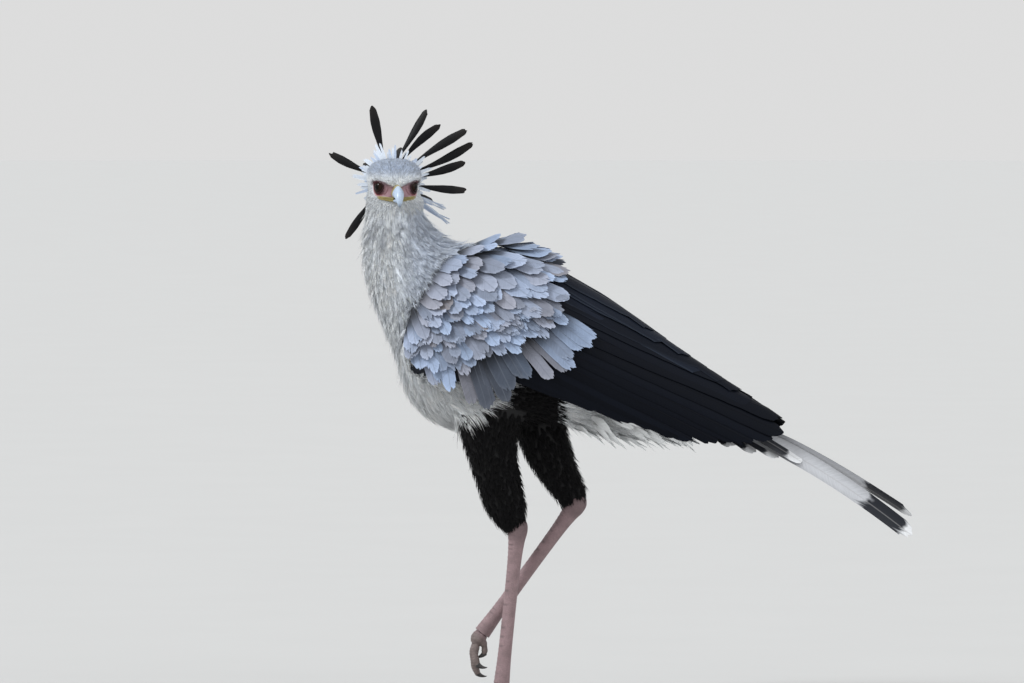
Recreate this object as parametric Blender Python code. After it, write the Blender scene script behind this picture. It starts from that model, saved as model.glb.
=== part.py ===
"""Secretary bird, life size, striding: it stands on its left foot and swings the right one forward.

Frame: metres, +Z up. The bird's body faces -X and its left side faces -Y. The origin is the middle
of the sole of the left foot, on the floor. The head is turned towards -Y.
"""

import math
import random

import bmesh
import bpy
from mathutils import Matrix, Vector

# Driving sizes
GAP = 0.0004                 # clearance between neighbouring pieces
MID_Y = -0.002               # the body's plane of symmetry, beside the standing foot
SHANK_RADIUS = 0.0112
CLAW_LENGTH = 0.020
CLAW_RADIUS = 0.0046
CREST_WIDTH = 0.017
VANE_EDGE = 0.0007           # thickness of a feather's edge
VANE_RIB = 0.0014            # thickness over its shaft
HEAD_CENTRE = Vector((-0.188, MID_Y, 0.9525))
HEAD_YAW = math.radians(8.0)
EYE_RADIUS = 0.0125
EYE_CENTRE = Vector((0.0270, -0.0218, 0.0005))
EYE_AZIMUTH = math.radians(52.0)

# Side view outline of neck and body: throat side point, back side point (x, z), and half width.
BODY_SECTIONS = [
    (-0.241, 0.904, -0.131, 0.904, 0.0500),
    (-0.250, 0.866, -0.118, 0.887, 0.0540),
    (-0.251, 0.822, -0.098, 0.868, 0.0610),
    (-0.244, 0.777, -0.070, 0.850, 0.0700),
    (-0.229, 0.732, -0.035, 0.846, 0.0800),
    (-0.208, 0.682, 0.005, 0.836, 0.0890),
    (-0.187, 0.630, 0.045, 0.819, 0.0945),
    (-0.170, 0.570, 0.085, 0.795, 0.0950),
    (-0.128, 0.521, 0.125, 0.763, 0.0920),
    (-0.066, 0.503, 0.165, 0.729, 0.0880),
    (0.008, 0.507, 0.205, 0.694, 0.0810),
    (0.080, 0.515, 0.245, 0.659, 0.0700),
    (0.150, 0.508, 0.283, 0.626, 0.0560),
    (0.215, 0.494, 0.318, 0.598, 0.0430),
    (0.275, 0.491, 0.347, 0.573, 0.0320),
    (0.328, 0.492, 0.374, 0.549, 0.0210),
    (0.357, 0.491, 0.388, 0.528, 0.0100),
]
NECK_END = 4.0               # section where the neck meets the torso
TAIL_START = 13.6            # section where the tail root meets the torso

# Surface that the folded wings lie on: x, upper edge z, lower edge z, half width.
WING_SECTIONS = [
    (-0.205, 0.795, 0.520, 0.052),
    (-0.155, 0.838, 0.500, 0.086),
    (-0.100, 0.849, 0.485, 0.104),
    (-0.035, 0.852, 0.480, 0.112),
    (0.030, 0.846, 0.470, 0.113),
    (0.095, 0.815, 0.460, 0.108),
    (0.165, 0.771, 0.450, 0.096),
    (0.240, 0.720, 0.440, 0.080),
    (0.320, 0.662, 0.420, 0.064),
    (0.400, 0.607, 0.400, 0.050),
    (0.480, 0.555, 0.380, 0.039),
    (0.570, 0.496, 0.350, 0.031),
]

# The fleshy shield of the wing, seen from the side: x, lower edge z, upper edge z.
SHIELD_EDGES = [
    (-0.180, 0.650, 0.672),
    (-0.164, 0.610, 0.716),
    (-0.135, 0.606, 0.776),
    (-0.095, 0.598, 0.830),
    (-0.040, 0.588, 0.8500),
    (0.020, 0.590, 0.8460),
    (0.080, 0.612, 0.819),
    (0.130, 0.638, 0.780),
    (0.170, 0.664, 0.742),
    (0.192, 0.684, 0.716),
]
SHIELD_LIFT = 0.0045
SHIELD_DEPTH = 0.030

# Tiers of wing feathers, lowest layer first: name, count, width, lift, rise to the tip, roots, tips.
# Root and tip lines are side view points (x, z) from the first feather to the last.
FLIGHT_ROOTS = [(0.035, 0.832), (0.055, 0.768), (0.055, 0.705), (0.030, 0.655), (-0.005, 0.622)]
FLIGHT_TIPS = [
    (0.288, 0.690), (0.376, 0.624), (0.454, 0.573), (0.524, 0.519),
    (0.478, 0.487), (0.380, 0.489), (0.290, 0.512), (0.185, 0.554),
]
FLIGHT_COUNT = 12
FLIGHT_WIDTH = 0.046
COVERT_TIERS = [
    ("greater", 9, 0.036, 0.0020, 0.006,
     [(0.098, 0.735), (0.050, 0.700), (-0.010, 0.680), (-0.070, 0.668), (-0.150, 0.668)],
     [(0.184, 0.664), (0.128, 0.624), (0.040, 0.592), (-0.040, 0.566), (-0.132, 0.612)]),
    ("median", 8, 0.035, 0.0045, 0.006,
     [(0.062, 0.756), (0.010, 0.718), (-0.050, 0.702), (-0.105, 0.690), (-0.160, 0.685)],
     [(0.120, 0.698), (0.066, 0.672), (-0.005, 0.640), (-0.070, 0.616), (-0.148, 0.632)]),
    ("lesser", 7, 0.034, 0.0065, 0.006,
     [(0.020, 0.762), (-0.030, 0.738), (-0.085, 0.722), (-0.125, 0.712), (-0.162, 0.700)],
     [(0.074, 0.708), (0.020, 0.692), (-0.046, 0.670), (-0.100, 0.660), (-0.156, 0.652)]),
    ("lower_scapular", 6, 0.042, 0.0085, 0.006,
     [(-0.150, 0.752), (-0.090, 0.768), (-0.020, 0.775), (0.045, 0.775)],
     [(-0.112, 0.706), (-0.040, 0.716), (0.050, 0.716), (0.124, 0.722)]),
    ("upper_scapular", 5, 0.045, 0.0105, 0.006,
     [(-0.130, 0.786), (-0.080, 0.806), (-0.020, 0.816), (0.035, 0.814)],
     [(-0.084, 0.742), (-0.015, 0.752), (0.065, 0.756), (0.126, 0.766)]),
    ("mantle", 6, 0.044, 0.0110, 0.010,
     [(-0.115, 0.818), (-0.070, 0.838), (-0.036, 0.8505), (0.010, 0.848), (0.050, 0.832)],
     [(-0.058, 0.788), (-0.010, 0.818), (0.036, 0.8425), (0.080, 0.821), (0.114, 0.799)]),
]

# Tail feathers: side view tip (x, z), width, roll from flat, offset from the mid plane, and bow.
TAIL_ROOT = Vector((0.335, MID_Y, 0.562))
TAIL_FEATHERS = [
    ((0.762, 0.347), 0.036, 0.55, 0.0075, 0.020),
    ((0.560, 0.447), 0.036, 0.75, 0.0120, 0.010),
    ((0.518, 0.456), 0.036, 0.90, 0.0150, 0.008),
    ((0.476, 0.466), 0.035, 1.05, 0.0175, 0.008),
    ((0.436, 0.476), 0.034, 1.15, 0.0195, 0.006),
]
LEFT_CENTRAL_DROP = 0.025    # how far the left central feather hangs below the right one

# Thighs in side view: front point, back point (x, z), half width, and share of the way to the ankle.
LEFT_THIGH = [
    (-0.082, 0.556, 0.062, 0.572, 0.040, 0.00),
    (-0.072, 0.500, 0.046, 0.520, 0.039, 0.15),
    (-0.056, 0.452, 0.041, 0.468, 0.035, 0.35),
    (-0.041, 0.405, 0.048, 0.418, 0.030, 0.60),
    (-0.025, 0.360, 0.057, 0.374, 0.026, 0.80),
    (-0.004, 0.330, 0.056, 0.342, 0.021, 0.93),
    (0.018, 0.314, 0.051, 0.322, 0.015, 1.00),
]
RIGHT_THIGH = [
    (0.012, 0.572, 0.122, 0.586, 0.040, 0.00),
    (0.027, 0.510, 0.128, 0.528, 0.039, 0.15),
    (0.047, 0.455, 0.143, 0.466, 0.034, 0.40),
    (0.079, 0.406, 0.156, 0.426, 0.028, 0.68),
    (0.103, 0.376, 0.167, 0.396, 0.022, 0.88),
    (0.119, 0.356, 0.163, 0.372, 0.015, 1.00),
]
HIP_SPREAD = 0.047           # hip joint, beside the mid plane
LEFT_ANKLE = Vector((0.0385, 0.006, 0.328))
LEFT_TOE_JOINT = Vector((0.007, 0.000, 0.026))
RIGHT_ANKLE = Vector((0.147, MID_Y + 0.044, 0.369))
RIGHT_TOE_JOINT = Vector((-0.030, MID_Y + 0.040, 0.127))

# Toes: angle from straight ahead, length, and root radius.
TOES = {
    "middle": (0.0, 0.074, 0.0092),
    "inner": (math.radians(34.0), 0.056, 0.0084),
    "outer": (math.radians(-36.0), 0.057, 0.0082),
    "hind": (math.radians(176.0), 0.036, 0.0078),
}
TOE_SEGMENTS = 5
# Pad under the standing foot's toe joint: height and radius of each ring.
PAD_RINGS = [(0.0, 0.0135), (0.006, 0.0165), (0.016, 0.0160), (0.026, 0.0150), (0.034, 0.0142)]
# Shank: share of the way from the ankle to the toe joint, and radius as a share of SHANK_RADIUS.
SHANK_RINGS = [
    (-0.055, 0.80), (-0.02, 1.35), (0.03, 1.45), (0.09, 1.20), (0.2, 1.02),
    (0.4, 0.95), (0.6, 0.95), (0.8, 1.0), (0.92, 1.12), (0.985, 1.20),
]
# Toes of the lifted foot: angle below straight ahead at the root, and bend at each segment.
FRONT_TOE_CURL = (1.15, 0.20)
HIND_TOE_CURL = (2.35, -0.24)

# Head in its own axes (-Y forwards): height, half width, front y, back y.
HEAD_SECTIONS = [
    (-0.0481, 0.0530, -0.0480, 0.0560),
    (-0.0370, 0.0525, -0.0475, 0.0600),
    (-0.0260, 0.0515, -0.0450, 0.0630),
    (-0.0130, 0.0490, -0.0415, 0.0640),
    (0.0010, 0.0470, -0.0400, 0.0640),
    (0.0130, 0.0500, -0.0415, 0.0620),
    (0.0240, 0.0510, -0.0400, 0.0585),
    (0.0350, 0.0475, -0.0350, 0.0520),
    (0.0435, 0.0400, -0.0270, 0.0435),
    (0.0495, 0.0285, -0.0165, 0.0325),
    (0.0525, 0.0130, -0.0030, 0.0180),
]
# Upper bill: culmen point (y, z), cutting edge point (y, z), half width.
UPPER_BILL = [
    (-0.0300, 0.0030, -0.0300, -0.0200, 0.0105),
    (-0.0440, 0.0045, -0.0430, -0.0202, 0.0125),
    (-0.0555, 0.0022, -0.0530, -0.0202, 0.0117),
    (-0.0655, -0.0040, -0.0600, -0.0204, 0.0104),
    (-0.0728, -0.0125, -0.0655, -0.0216, 0.0088),
    (-0.0763, -0.0215, -0.0697, -0.0250, 0.0066),
    (-0.0768, -0.0295, -0.0728, -0.0305, 0.0042),
    (-0.0752, -0.0358, -0.0742, -0.0352, 0.0016),
]
# Lower bill: y, top z, bottom z, half width.
LOWER_BILL = [
    (-0.0310, -0.0212, -0.0290, 0.0085),
    (-0.0440, -0.0210, -0.0290, 0.0098),
    (-0.0560, -0.0212, -0.0278, 0.0078),
    (-0.0645, -0.0226, -0.0262, 0.0036),
]
# Crest: tip seen from the front (sideways, up) from the head's centre, reach backwards, root angle.
CREST_TIPS = [
    (-0.122, 0.062, 0.060, 165), (-0.042, 0.1495, 0.055, 118), (0.059, 0.142, 0.060, 96),
    (0.085, 0.114, 0.050, 72), (0.134, 0.105, 0.055, 40), (0.145, 0.080, 0.065, 25),
    (0.131, 0.045, 0.060, 5), (0.135, -0.008, 0.065, -20), (-0.092, -0.098, 0.085, 215),
    (-0.060, 0.040, 0.150, 150), (0.070, -0.030, 0.150, -45), (0.000, -0.070, 0.150, 260),
    (0.010, 0.070, 0.165, 90),
]
CREST_RING = (0.020, 0.034, 0.012)   # radius of the root ring, its y, and its z above the eyes
NAPE_TUFTS = 12
# Loose pale plumes at the back of the head: tip sideways, up and back from the head's centre.
NAPE_PLUMES = [(0.074, -0.030, 0.055), (0.104, -0.064, 0.050), (0.094, -0.038, 0.085)]


def section_at(rows, place):
    """A row of numbers at a fractional place along a list of rows, on a smooth curve through them."""
    last = len(rows) - 1
    place = min(max(place, 0.0), last)
    start = min(int(place), last - 1)
    part = place - start
    before = rows[max(start - 1, 0)]
    here, ahead = rows[start], rows[start + 1]
    after = rows[min(start + 2, last)]
    values = []
    for a, b, c, d in zip(before, here, ahead, after):
        curve = (2 * a - 5 * b + 4 * c - d) * part + (3 * b - 3 * c + d - a) * part * part
        values.append(b + 0.5 * part * (c - a + curve))
    return values


def line_point(points, share):
    """The point at a share of the way along a smooth line through a few points."""
    return section_at(points, share * (len(points) - 1))


def surface(name, colour, roughness, metallic=0.0):
    """A Principled material."""
    made = bpy.data.materials.new(name)
    made.use_nodes = True
    shader = made.node_tree.nodes["Principled BSDF"]
    shader.inputs["Base Color"].default_value = (*colour, 1.0)
    shader.inputs["Roughness"].default_value = roughness
    shader.inputs["Metallic"].default_value = metallic
    made.diffuse_color = (*colour, 1.0)
    return made


def new_object(name, bm, material=None, smooth=True):
    """A mesh object made from a bmesh, with its faces pointing outwards."""
    bmesh.ops.recalc_face_normals(bm, faces=bm.faces)
    if bm.calc_volume(signed=True) < 0:
        bmesh.ops.reverse_faces(bm, faces=bm.faces)
    mesh = bpy.data.meshes.new(name)
    bm.to_mesh(mesh)
    bm.free()
    if smooth:
        mesh.shade_smooth()
    obj = bpy.data.objects.new(name, mesh)
    if material:
        mesh.materials.append(material)
    PARTS.objects.link(obj)
    return obj


def loft(name, rings, material=None):
    """A closed body through rings of points, with flat caps."""
    bm = bmesh.new()
    made = [[bm.verts.new(point) for point in ring] for ring in rings]
    count = len(rings[0])
    for lower, upper in zip(made, made[1:]):
        for i in range(count):
            j = (i + 1) % count
            bm.faces.new((lower[i], lower[j], upper[j], upper[i]))
    bm.faces.new(made[0][::-1])
    bm.faces.new(made[-1])
    bmesh.ops.triangulate(bm, faces=bm.faces)
    return new_object(name, bm, material)


def blade(name, top, bottom):
    """A thin closed plate between two grids of points, split into triangles alike on both faces."""
    bm = bmesh.new()
    upper = [[bm.verts.new(point) for point in row] for row in top]
    lower = [[bm.verts.new(point) for point in row] for row in bottom]
    rows, columns = len(top), len(top[0])

    def quad(a, b, c, d):
        bm.faces.new((a, b, c))
        bm.faces.new((a, c, d))

    for j in range(rows - 1):
        for i in range(columns - 1):
            quad(upper[j][i], upper[j][i + 1], upper[j + 1][i + 1], upper[j + 1][i])
            bm.faces.new((lower[j][i], lower[j + 1][i + 1], lower[j][i + 1]))
            bm.faces.new((lower[j][i], lower[j + 1][i], lower[j + 1][i + 1]))
        for i in (0, columns - 1):
            quad(upper[j][i], upper[j + 1][i], lower[j + 1][i], lower[j][i])
    for j in (0, rows - 1):
        for i in range(columns - 1):
            quad(upper[j][i], upper[j][i + 1], lower[j][i + 1], lower[j][i])
    return new_object(name, bm)


def evaluated_mesh(obj):
    """The object's mesh after its modifiers, which are then dropped."""
    graph = bpy.context.evaluated_depsgraph_get()
    mesh = bpy.data.meshes.new_from_object(obj.evaluated_get(graph))
    obj.modifiers.clear()
    return mesh


def keep_largest(obj):
    """Drops every closed surface of the mesh but the largest, so a loose scrap or sealed hollow goes."""
    bm = bmesh.new()
    bm.from_mesh(obj.data)
    bm.verts.ensure_lookup_table()
    seen, pieces = set(), []
    for start in bm.verts:
        if start.index in seen:
            continue
        piece, waiting = [], [start]
        seen.add(start.index)
        while waiting:
            vert = waiting.pop()
            piece.append(vert)
            for edge in vert.link_edges:
                other = edge.other_vert(vert)
                if other.index not in seen:
                    seen.add(other.index)
                    waiting.append(other)
        pieces.append(piece)

    def volume(piece):
        faces = {face for vert in piece for face in vert.link_faces}
        total = 0.0
        for face in faces:
            corners = [vert.co for vert in face.verts]
            for second, third in zip(corners[1:], corners[2:]):
                total += corners[0].dot(second.cross(third)) / 6
        return total

    pieces.sort(key=volume)
    spare = [vert for piece in pieces[:-1] for vert in piece]
    bmesh.ops.delete(bm, geom=spare, context="VERTS")
    bmesh.ops.dissolve_limit(bm, angle_limit=math.radians(0.3), verts=bm.verts, edges=bm.edges)
    bmesh.ops.triangulate(bm, faces=bm.faces)
    bm.to_mesh(obj.data)
    bm.free()


def fuse(base, extras):
    """Joins the extra pieces to the base with one Boolean union, and keeps one closed body."""
    group = bpy.data.collections.new("to_fuse")
    bpy.context.scene.collection.children.link(group)
    for extra in extras:
        group.objects.link(extra)
    union = base.modifiers.new("union", "BOOLEAN")
    union.operation = "UNION"
    union.operand_type = "COLLECTION"
    union.collection = group
    union.solver = "MANIFOLD"
    material = base.data.materials[0] if base.data.materials else None
    base.data = evaluated_mesh(base)
    for extra in extras:
        bpy.data.objects.remove(extra)
    bpy.data.collections.remove(group)
    finish_boolean(base, material)


def cut(target, cutters, remove=True):
    """Takes the cutters away from the target."""
    material = target.data.materials[0] if target.data.materials else None
    for cutter in cutters:
        trim = target.modifiers.new("trim", "BOOLEAN")
        trim.operation = "DIFFERENCE"
        trim.object = cutter
        trim.solver = "MANIFOLD"
    target.data = evaluated_mesh(target)
    if remove:
        for cutter in cutters:
            bpy.data.objects.remove(cutter)
    finish_boolean(target, material)


def finish_boolean(obj, material):
    """One closed body again, with its material and smooth shading."""
    keep_largest(obj)
    obj.data.materials.clear()
    if material:
        obj.data.materials.append(material)
    obj.data.shade_smooth()
    obj.data.set_sharp_from_angle(angle=math.radians(40))


def swollen(obj, by=GAP):
    """A hidden copy whose surface stands out by the clearance, for cutting a neighbour."""
    bm = bmesh.new()
    bm.from_mesh(obj.data)
    bm.normal_update()
    moves = [vert.normal * by for vert in bm.verts]
    for vert, move in zip(bm.verts, moves):
        vert.co += move
    bmesh.ops.triangulate(bm, faces=bm.faces)
    copy = new_object(obj.name + "_cutter", bm)
    copy.hide_render = True
    copy.display_type = "WIRE"
    return copy


def feather_widths(kind, share):
    """Width of a feather at a share of its length, as a share of its full width."""
    profiles = {
        "covert": [(0.0, 0.34), (0.35, 0.86), (0.62, 1.0), (0.86, 0.82), (1.0, 0.26)],
        "flight": [(0.0, 0.16), (0.25, 0.72), (0.60, 1.0), (0.88, 0.84), (1.0, 0.16)],
        "crest": [(0.0, 0.24), (0.35, 0.34), (0.72, 0.94), (0.92, 0.90), (1.0, 0.40)],
        "tuft": [(0.0, 0.70), (0.60, 1.0), (1.0, 0.30)],
    }
    profile = profiles[kind]
    for (start, low), (end, high) in zip(profile, profile[1:]):
        if share <= end:
            return low + (high - low) * (share - start) / (end - start)
    return profile[-1][1]


def plain_vane(name, points, across, kind, width, shares, cup=0.0):
    """A free feather along a list of centre points, whose width runs along the across vectors."""
    top, bottom = [], []
    for i, share in enumerate(shares):
        ahead = points[min(i + 1, len(points) - 1)] - points[max(i - 1, 0)]
        side = across[i] - ahead.normalized() * across[i].dot(ahead.normalized())
        side.normalize()
        up = side.cross(ahead).normalized()
        half = 0.5 * width * feather_widths(kind, share)
        thin = 1.0 - 0.35 * share
        left, right = points[i] - side * half, points[i] + side * half
        left, right = left - up * cup * half, right - up * cup * half
        top.append([
            left + up * VANE_EDGE * 0.5, points[i] + up * VANE_RIB * 0.5 * thin,
            right + up * VANE_EDGE * 0.5,
        ])
        bottom.append([
            left - up * VANE_EDGE * 0.5, points[i] - up * VANE_RIB * 0.5 * thin,
            right - up * VANE_EDGE * 0.5,
        ])
    return blade(name, top, bottom)


def body_ring(place, shift=0.0, points=20):
    """A ring round the neck or body at a place along it, moved along the body by shift."""
    throat_x, throat_z, back_x, back_z, half = section_at(BODY_SECTIONS, place)
    throat, back = Vector((throat_x, MID_Y, throat_z)), Vector((back_x, MID_Y, back_z))
    across = back - throat
    along = Vector((across.z, 0.0, -across.x)).normalized()
    ring = []
    for i in range(points):
        turn = 2 * math.pi * i / points
        centre = throat + across * (0.5 - 0.5 * math.cos(turn))
        ring.append(centre + Vector((0.0, half * math.sin(turn), 0.0)) + along * shift)
    return ring


def body_part(name, start, end, step, material, points=20):
    """A length of the neck and body loft, with flat ends set back by half the clearance."""
    count = max(2, round((end - start) / step))
    rings = []
    for i in range(count + 1):
        shift = GAP / 2 if i == 0 else -GAP / 2 if i == count else 0.0
        rings.append(body_ring(start + (end - start) * i / count, shift, points))
    return loft(name, rings, material)


def wing_row(x):
    """Centre height, half height and half width of the wing surface at x."""
    rows = WING_SECTIONS
    for i in range(len(rows) - 1):
        if x <= rows[i + 1][0] or i == len(rows) - 2:
            part = (x - rows[i][0]) / (rows[i + 1][0] - rows[i][0])
            _, high, low, half = section_at(rows, i + min(max(part, 0.0), 1.0))
            return (high + low) / 2, (high - low) / 2, half


def wing_point(x, turn, lift, side):
    """A point on the wing surface: turn is the angle up from the flank, lift stands out from it."""
    step = 0.002

    def bare(x_here, turn_here):
        centre, tall, half = wing_row(x_here)
        return Vector((x_here, side * half * math.cos(turn_here), centre + tall * math.sin(turn_here)))

    turn = min(max(turn, -1.45), 1.53)
    point = bare(x, turn)
    along = bare(x + step, turn) - bare(x - step, turn)
    up = bare(x, turn + step) - bare(x, turn - step)
    normal = along.cross(up).normalized()
    if normal.y * side < 0:
        normal = -normal
    return point + normal * lift + Vector((0.0, MID_Y, 0.0))


def wing_turn(x, z):
    """The angle on the wing surface whose side view height is z."""
    centre, tall, _ = wing_row(x)
    return math.asin(min(max((z - centre) / tall, -0.985), 0.992))


def shield_lift(x, z):
    """How far the wing's fleshy shield stands out at a side view point."""
    low, high = shield_edges(x)
    share = min(max((z - low) / max(high - low, 0.001), 0.0), 1.0)
    ends = min(max((x + 0.180) / 0.05, 0.0), 1.0) * min(max((0.192 - x) / 0.07, 0.0), 1.0)
    return SHIELD_LIFT * math.sin(math.pi * share) ** 0.5 * (0.3 + 0.7 * ends)


def shield_edges(x):
    """Lower and upper edge heights of the wing's shield at x."""
    rows = SHIELD_EDGES
    x = min(max(x, rows[0][0]), rows[-1][0])
    for (x0, low0, high0), (x1, low1, high1) in zip(rows, rows[1:]):
        if x <= x1:
            part = (x - x0) / (x1 - x0)
            return low0 + (low1 - low0) * part, high0 + (high1 - high0) * part
    return rows[-1][1], rows[-1][2]


def wing_shield(side):
    """The flesh of a folded wing: a thick pad on the flank that carries every feather's root."""
    columns, levels = 11, 7
    top, bottom = [], []
    start, end = SHIELD_EDGES[0][0], SHIELD_EDGES[-1][0]
    for j in range(columns):
        x = start + (end - start) * j / (columns - 1)
        low, high = shield_edges(x)
        outer, inner = [], []
        for i in range(levels):
            share = i / (levels - 1)
            z = low + (high - low) * share
            turn = wing_turn(x, z)
            rim = math.sin(math.pi * share) ** 0.5 if 0 < i < levels - 1 else 0.0
            ends = math.sin(math.pi * j / (columns - 1)) ** 0.5 if 0 < j < columns - 1 else 0.0
            outer.append(wing_point(x, turn, shield_lift(x, z) - 0.001, side))
            depth = 0.004 + SHIELD_DEPTH * rim * ends
            inner.append(wing_point(x, turn, -depth, side))
        top.append(outer)
        bottom.append(inner)
    return blade("wing_shield", top, bottom)


def wing_vane(side, root, tip, width, shares, kind, heights, tilt, sag=0.0):
    """A wing feather laid on the wing surface from root to tip, its lower edge lifted by tilt."""
    top, bottom = [], []
    step = 0.01
    low_height, high_height = heights

    def centre(share):
        x = root[0] + (tip[0] - root[0]) * share
        z = root[1] + (tip[1] - root[1]) * share + sag * math.sin(math.pi * share)
        return x, wing_turn(x, z)

    for share in shares:
        x, turn = centre(share)
        here = wing_point(x, turn, 0.0, side)
        x_ahead, turn_ahead = centre(share + step)
        x_back, turn_back = centre(share - step)
        ahead = wing_point(x_ahead, turn_ahead, 0.0, side) - wing_point(x_back, turn_back, 0.0, side)
        normal = (wing_point(x, turn, 0.01, side) - here).normalized()
        across = normal.cross(ahead).normalized() * (-side)
        centre_height, tall, half = wing_row(x)
        up = Vector((0.0, -side * half * math.sin(turn), tall * math.cos(turn)))
        half_width = 0.5 * width * feather_widths(kind, share)
        height = low_height + (high_height - low_height) * share
        rib = VANE_RIB * (1.0 - 0.35 * share)
        over, under = [], []
        for place in (-1.0, 0.0, 1.0):
            offset = across * half_width * place
            base_x = x + offset.x
            base_turn = turn + offset.dot(up) / up.length_squared
            lean = height - tilt * place * feather_widths(kind, share)
            thick = rib if place == 0.0 else VANE_EDGE
            over.append(wing_point(base_x, base_turn, lean + thick, side))
            under.append(wing_point(base_x, base_turn, lean, side))
        top.append(over)
        bottom.append(under)
    return blade("wing_vane", top, bottom)


def wing_feathers(side):
    """All feathers of one folded wing: flight feathers first, then the tiers of coverts over them."""
    draw = random.Random(7)
    made = []
    for k in range(FLIGHT_COUNT):
        share = k / (FLIGHT_COUNT - 1)
        root, tip = line_point(FLIGHT_ROOTS, share), line_point(FLIGHT_TIPS, share)
        lift = 0.0042 - 0.0042 * share
        made.append(wing_vane(
            side, root, tip, FLIGHT_WIDTH, (0.0, 0.25, 0.55, 0.86, 1.0), "flight",
            (lift - 0.0010, lift), 0.0017, sag=0.004,
        ))
    for _, count, width, lift, rise, roots, tips in COVERT_TIERS:
        for k in range(count):
            share = k / (count - 1)
            root, tip = line_point(roots, share), line_point(tips, share)
            tip = [value + draw.uniform(-0.003, 0.003) for value in tip]
            wide = width * draw.uniform(0.92, 1.08)
            start = shield_lift(*root) - 0.0030 + max(0.0, lift - 0.0065)
            made.append(wing_vane(
                side, root, tip, wide, (0.0, 0.45, 0.86, 1.0), "covert",
                (min(start, shield_lift(*root) - 0.0022), lift + rise), 0.0009,
            ))
    return made


def wing(name, side, inner, material):
    """One folded wing, trimmed to lie on the pieces inside it."""
    base = wing_shield(side)
    base.name = name
    base.data.materials.append(material)
    fuse(base, wing_feathers(side))
    cut(base, [swollen(piece) for piece in inner])
    return base


def tail(material):
    """The tail root and its graded feathers, the central pair far longer than the rest."""
    base = body_part("tail", TAIL_START, len(BODY_SECTIONS) - 1.0, 0.8, material, 14)
    feathers = []
    shares = (0.0, 0.25, 0.6, 0.92, 1.0)
    for i, (tip, width, roll, offset, bow) in enumerate(TAIL_FEATHERS):
        for side in (-1, 1):
            drop = LEFT_CENTRAL_DROP if i == 0 and side < 0 else 0.0
            end = Vector((tip[0], MID_Y + side * offset, tip[1] - drop))
            start = TAIL_ROOT + Vector((0.0, side * 0.006, -0.0035 * i - 0.25 * drop))
            points, across = [], []
            for share in shares:
                points.append(start.lerp(end, share) + Vector((0.0, 0.0, bow * math.sin(math.pi * share))))
                across.append(Vector((0.0, math.cos(roll), -side * math.sin(roll))))
            feathers.append(plain_vane("rectrix", points, across, "flight", width, shares))
    fuse(base, feathers)
    return base


def thigh(name, rows, hip_y, ankle, material):
    """A feathered thigh, from inside the body down to just above the bare shank."""
    rings = []
    steps = 2 * (len(rows) - 1)
    for k in range(steps + 1):
        fx, fz, bx, bz, half, share = section_at(rows, k / 2)
        front, back = Vector((fx, 0.0, fz)), Vector((bx, 0.0, bz))
        middle_y = hip_y + (ankle.y - hip_y) * share
        ring = []
        for i in range(12):
            turn = 2 * math.pi * i / 12
            point = front.lerp(back, 0.5 - 0.5 * math.cos(turn))
            ring.append(Vector((point.x, middle_y + half * math.sin(turn), point.z)))
        rings.append(ring)
    return loft(name, rings, material)


def tube_rings(points, radii, flat=1.0, sides=12, floor=None, across=Vector((0.0, 1.0, 0.0))):
    """Rings along a bent limb; flat squeezes its depth, and floor cuts the rings to a flat sole."""
    rings = []
    for i, point in enumerate(points):
        ahead = (points[min(i + 1, len(points) - 1)] - points[max(i - 1, 0)]).normalized()
        side = (across - ahead * across.dot(ahead)).normalized()
        up = ahead.cross(side)
        ring = []
        for k in range(sides):
            turn = 2 * math.pi * k / sides
            spot = point + side * radii[i] * math.cos(turn) + up * radii[i] * flat * math.sin(turn)
            if floor is not None:
                spot.z = max(spot.z, floor)
            ring.append(spot)
        rings.append(ring)
    return rings


def shank(name, ankle, joint, material):
    """The bare lower leg, with its knobbed ankle above and its toe joint below."""
    points = [ankle + (joint - ankle) * share for share, _ in SHANK_RINGS]
    radii = [SHANK_RADIUS * scale for _, scale in SHANK_RINGS]
    return loft(name, tube_rings(points, radii, flat=1.12, sides=11), material)


def toe_radius(thick, share, taper):
    """Radius of a toe at a share of its length, thicker at each knuckle."""
    return thick * (1.0 - taper * share) * (1.0 + 0.10 * math.cos(share * TOE_SEGMENTS * math.pi))


def claw(name, start, way, bend, material):
    """A tapering claw that starts inside a toe's tip; way gives its direction for a drop angle."""
    points, radii = [], []
    point, angle = start.copy(), 0.0
    for k in range(6):
        points.append(point.copy())
        radii.append(CLAW_RADIUS * (1.0 - k / 5.4))
        point += way(angle) * CLAW_LENGTH / 5
        angle += bend
    across = way(0.0).cross(way(0.5)).normalized()
    return loft(name, tube_rings(points, radii, flat=1.25, sides=6, across=across), material)


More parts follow.
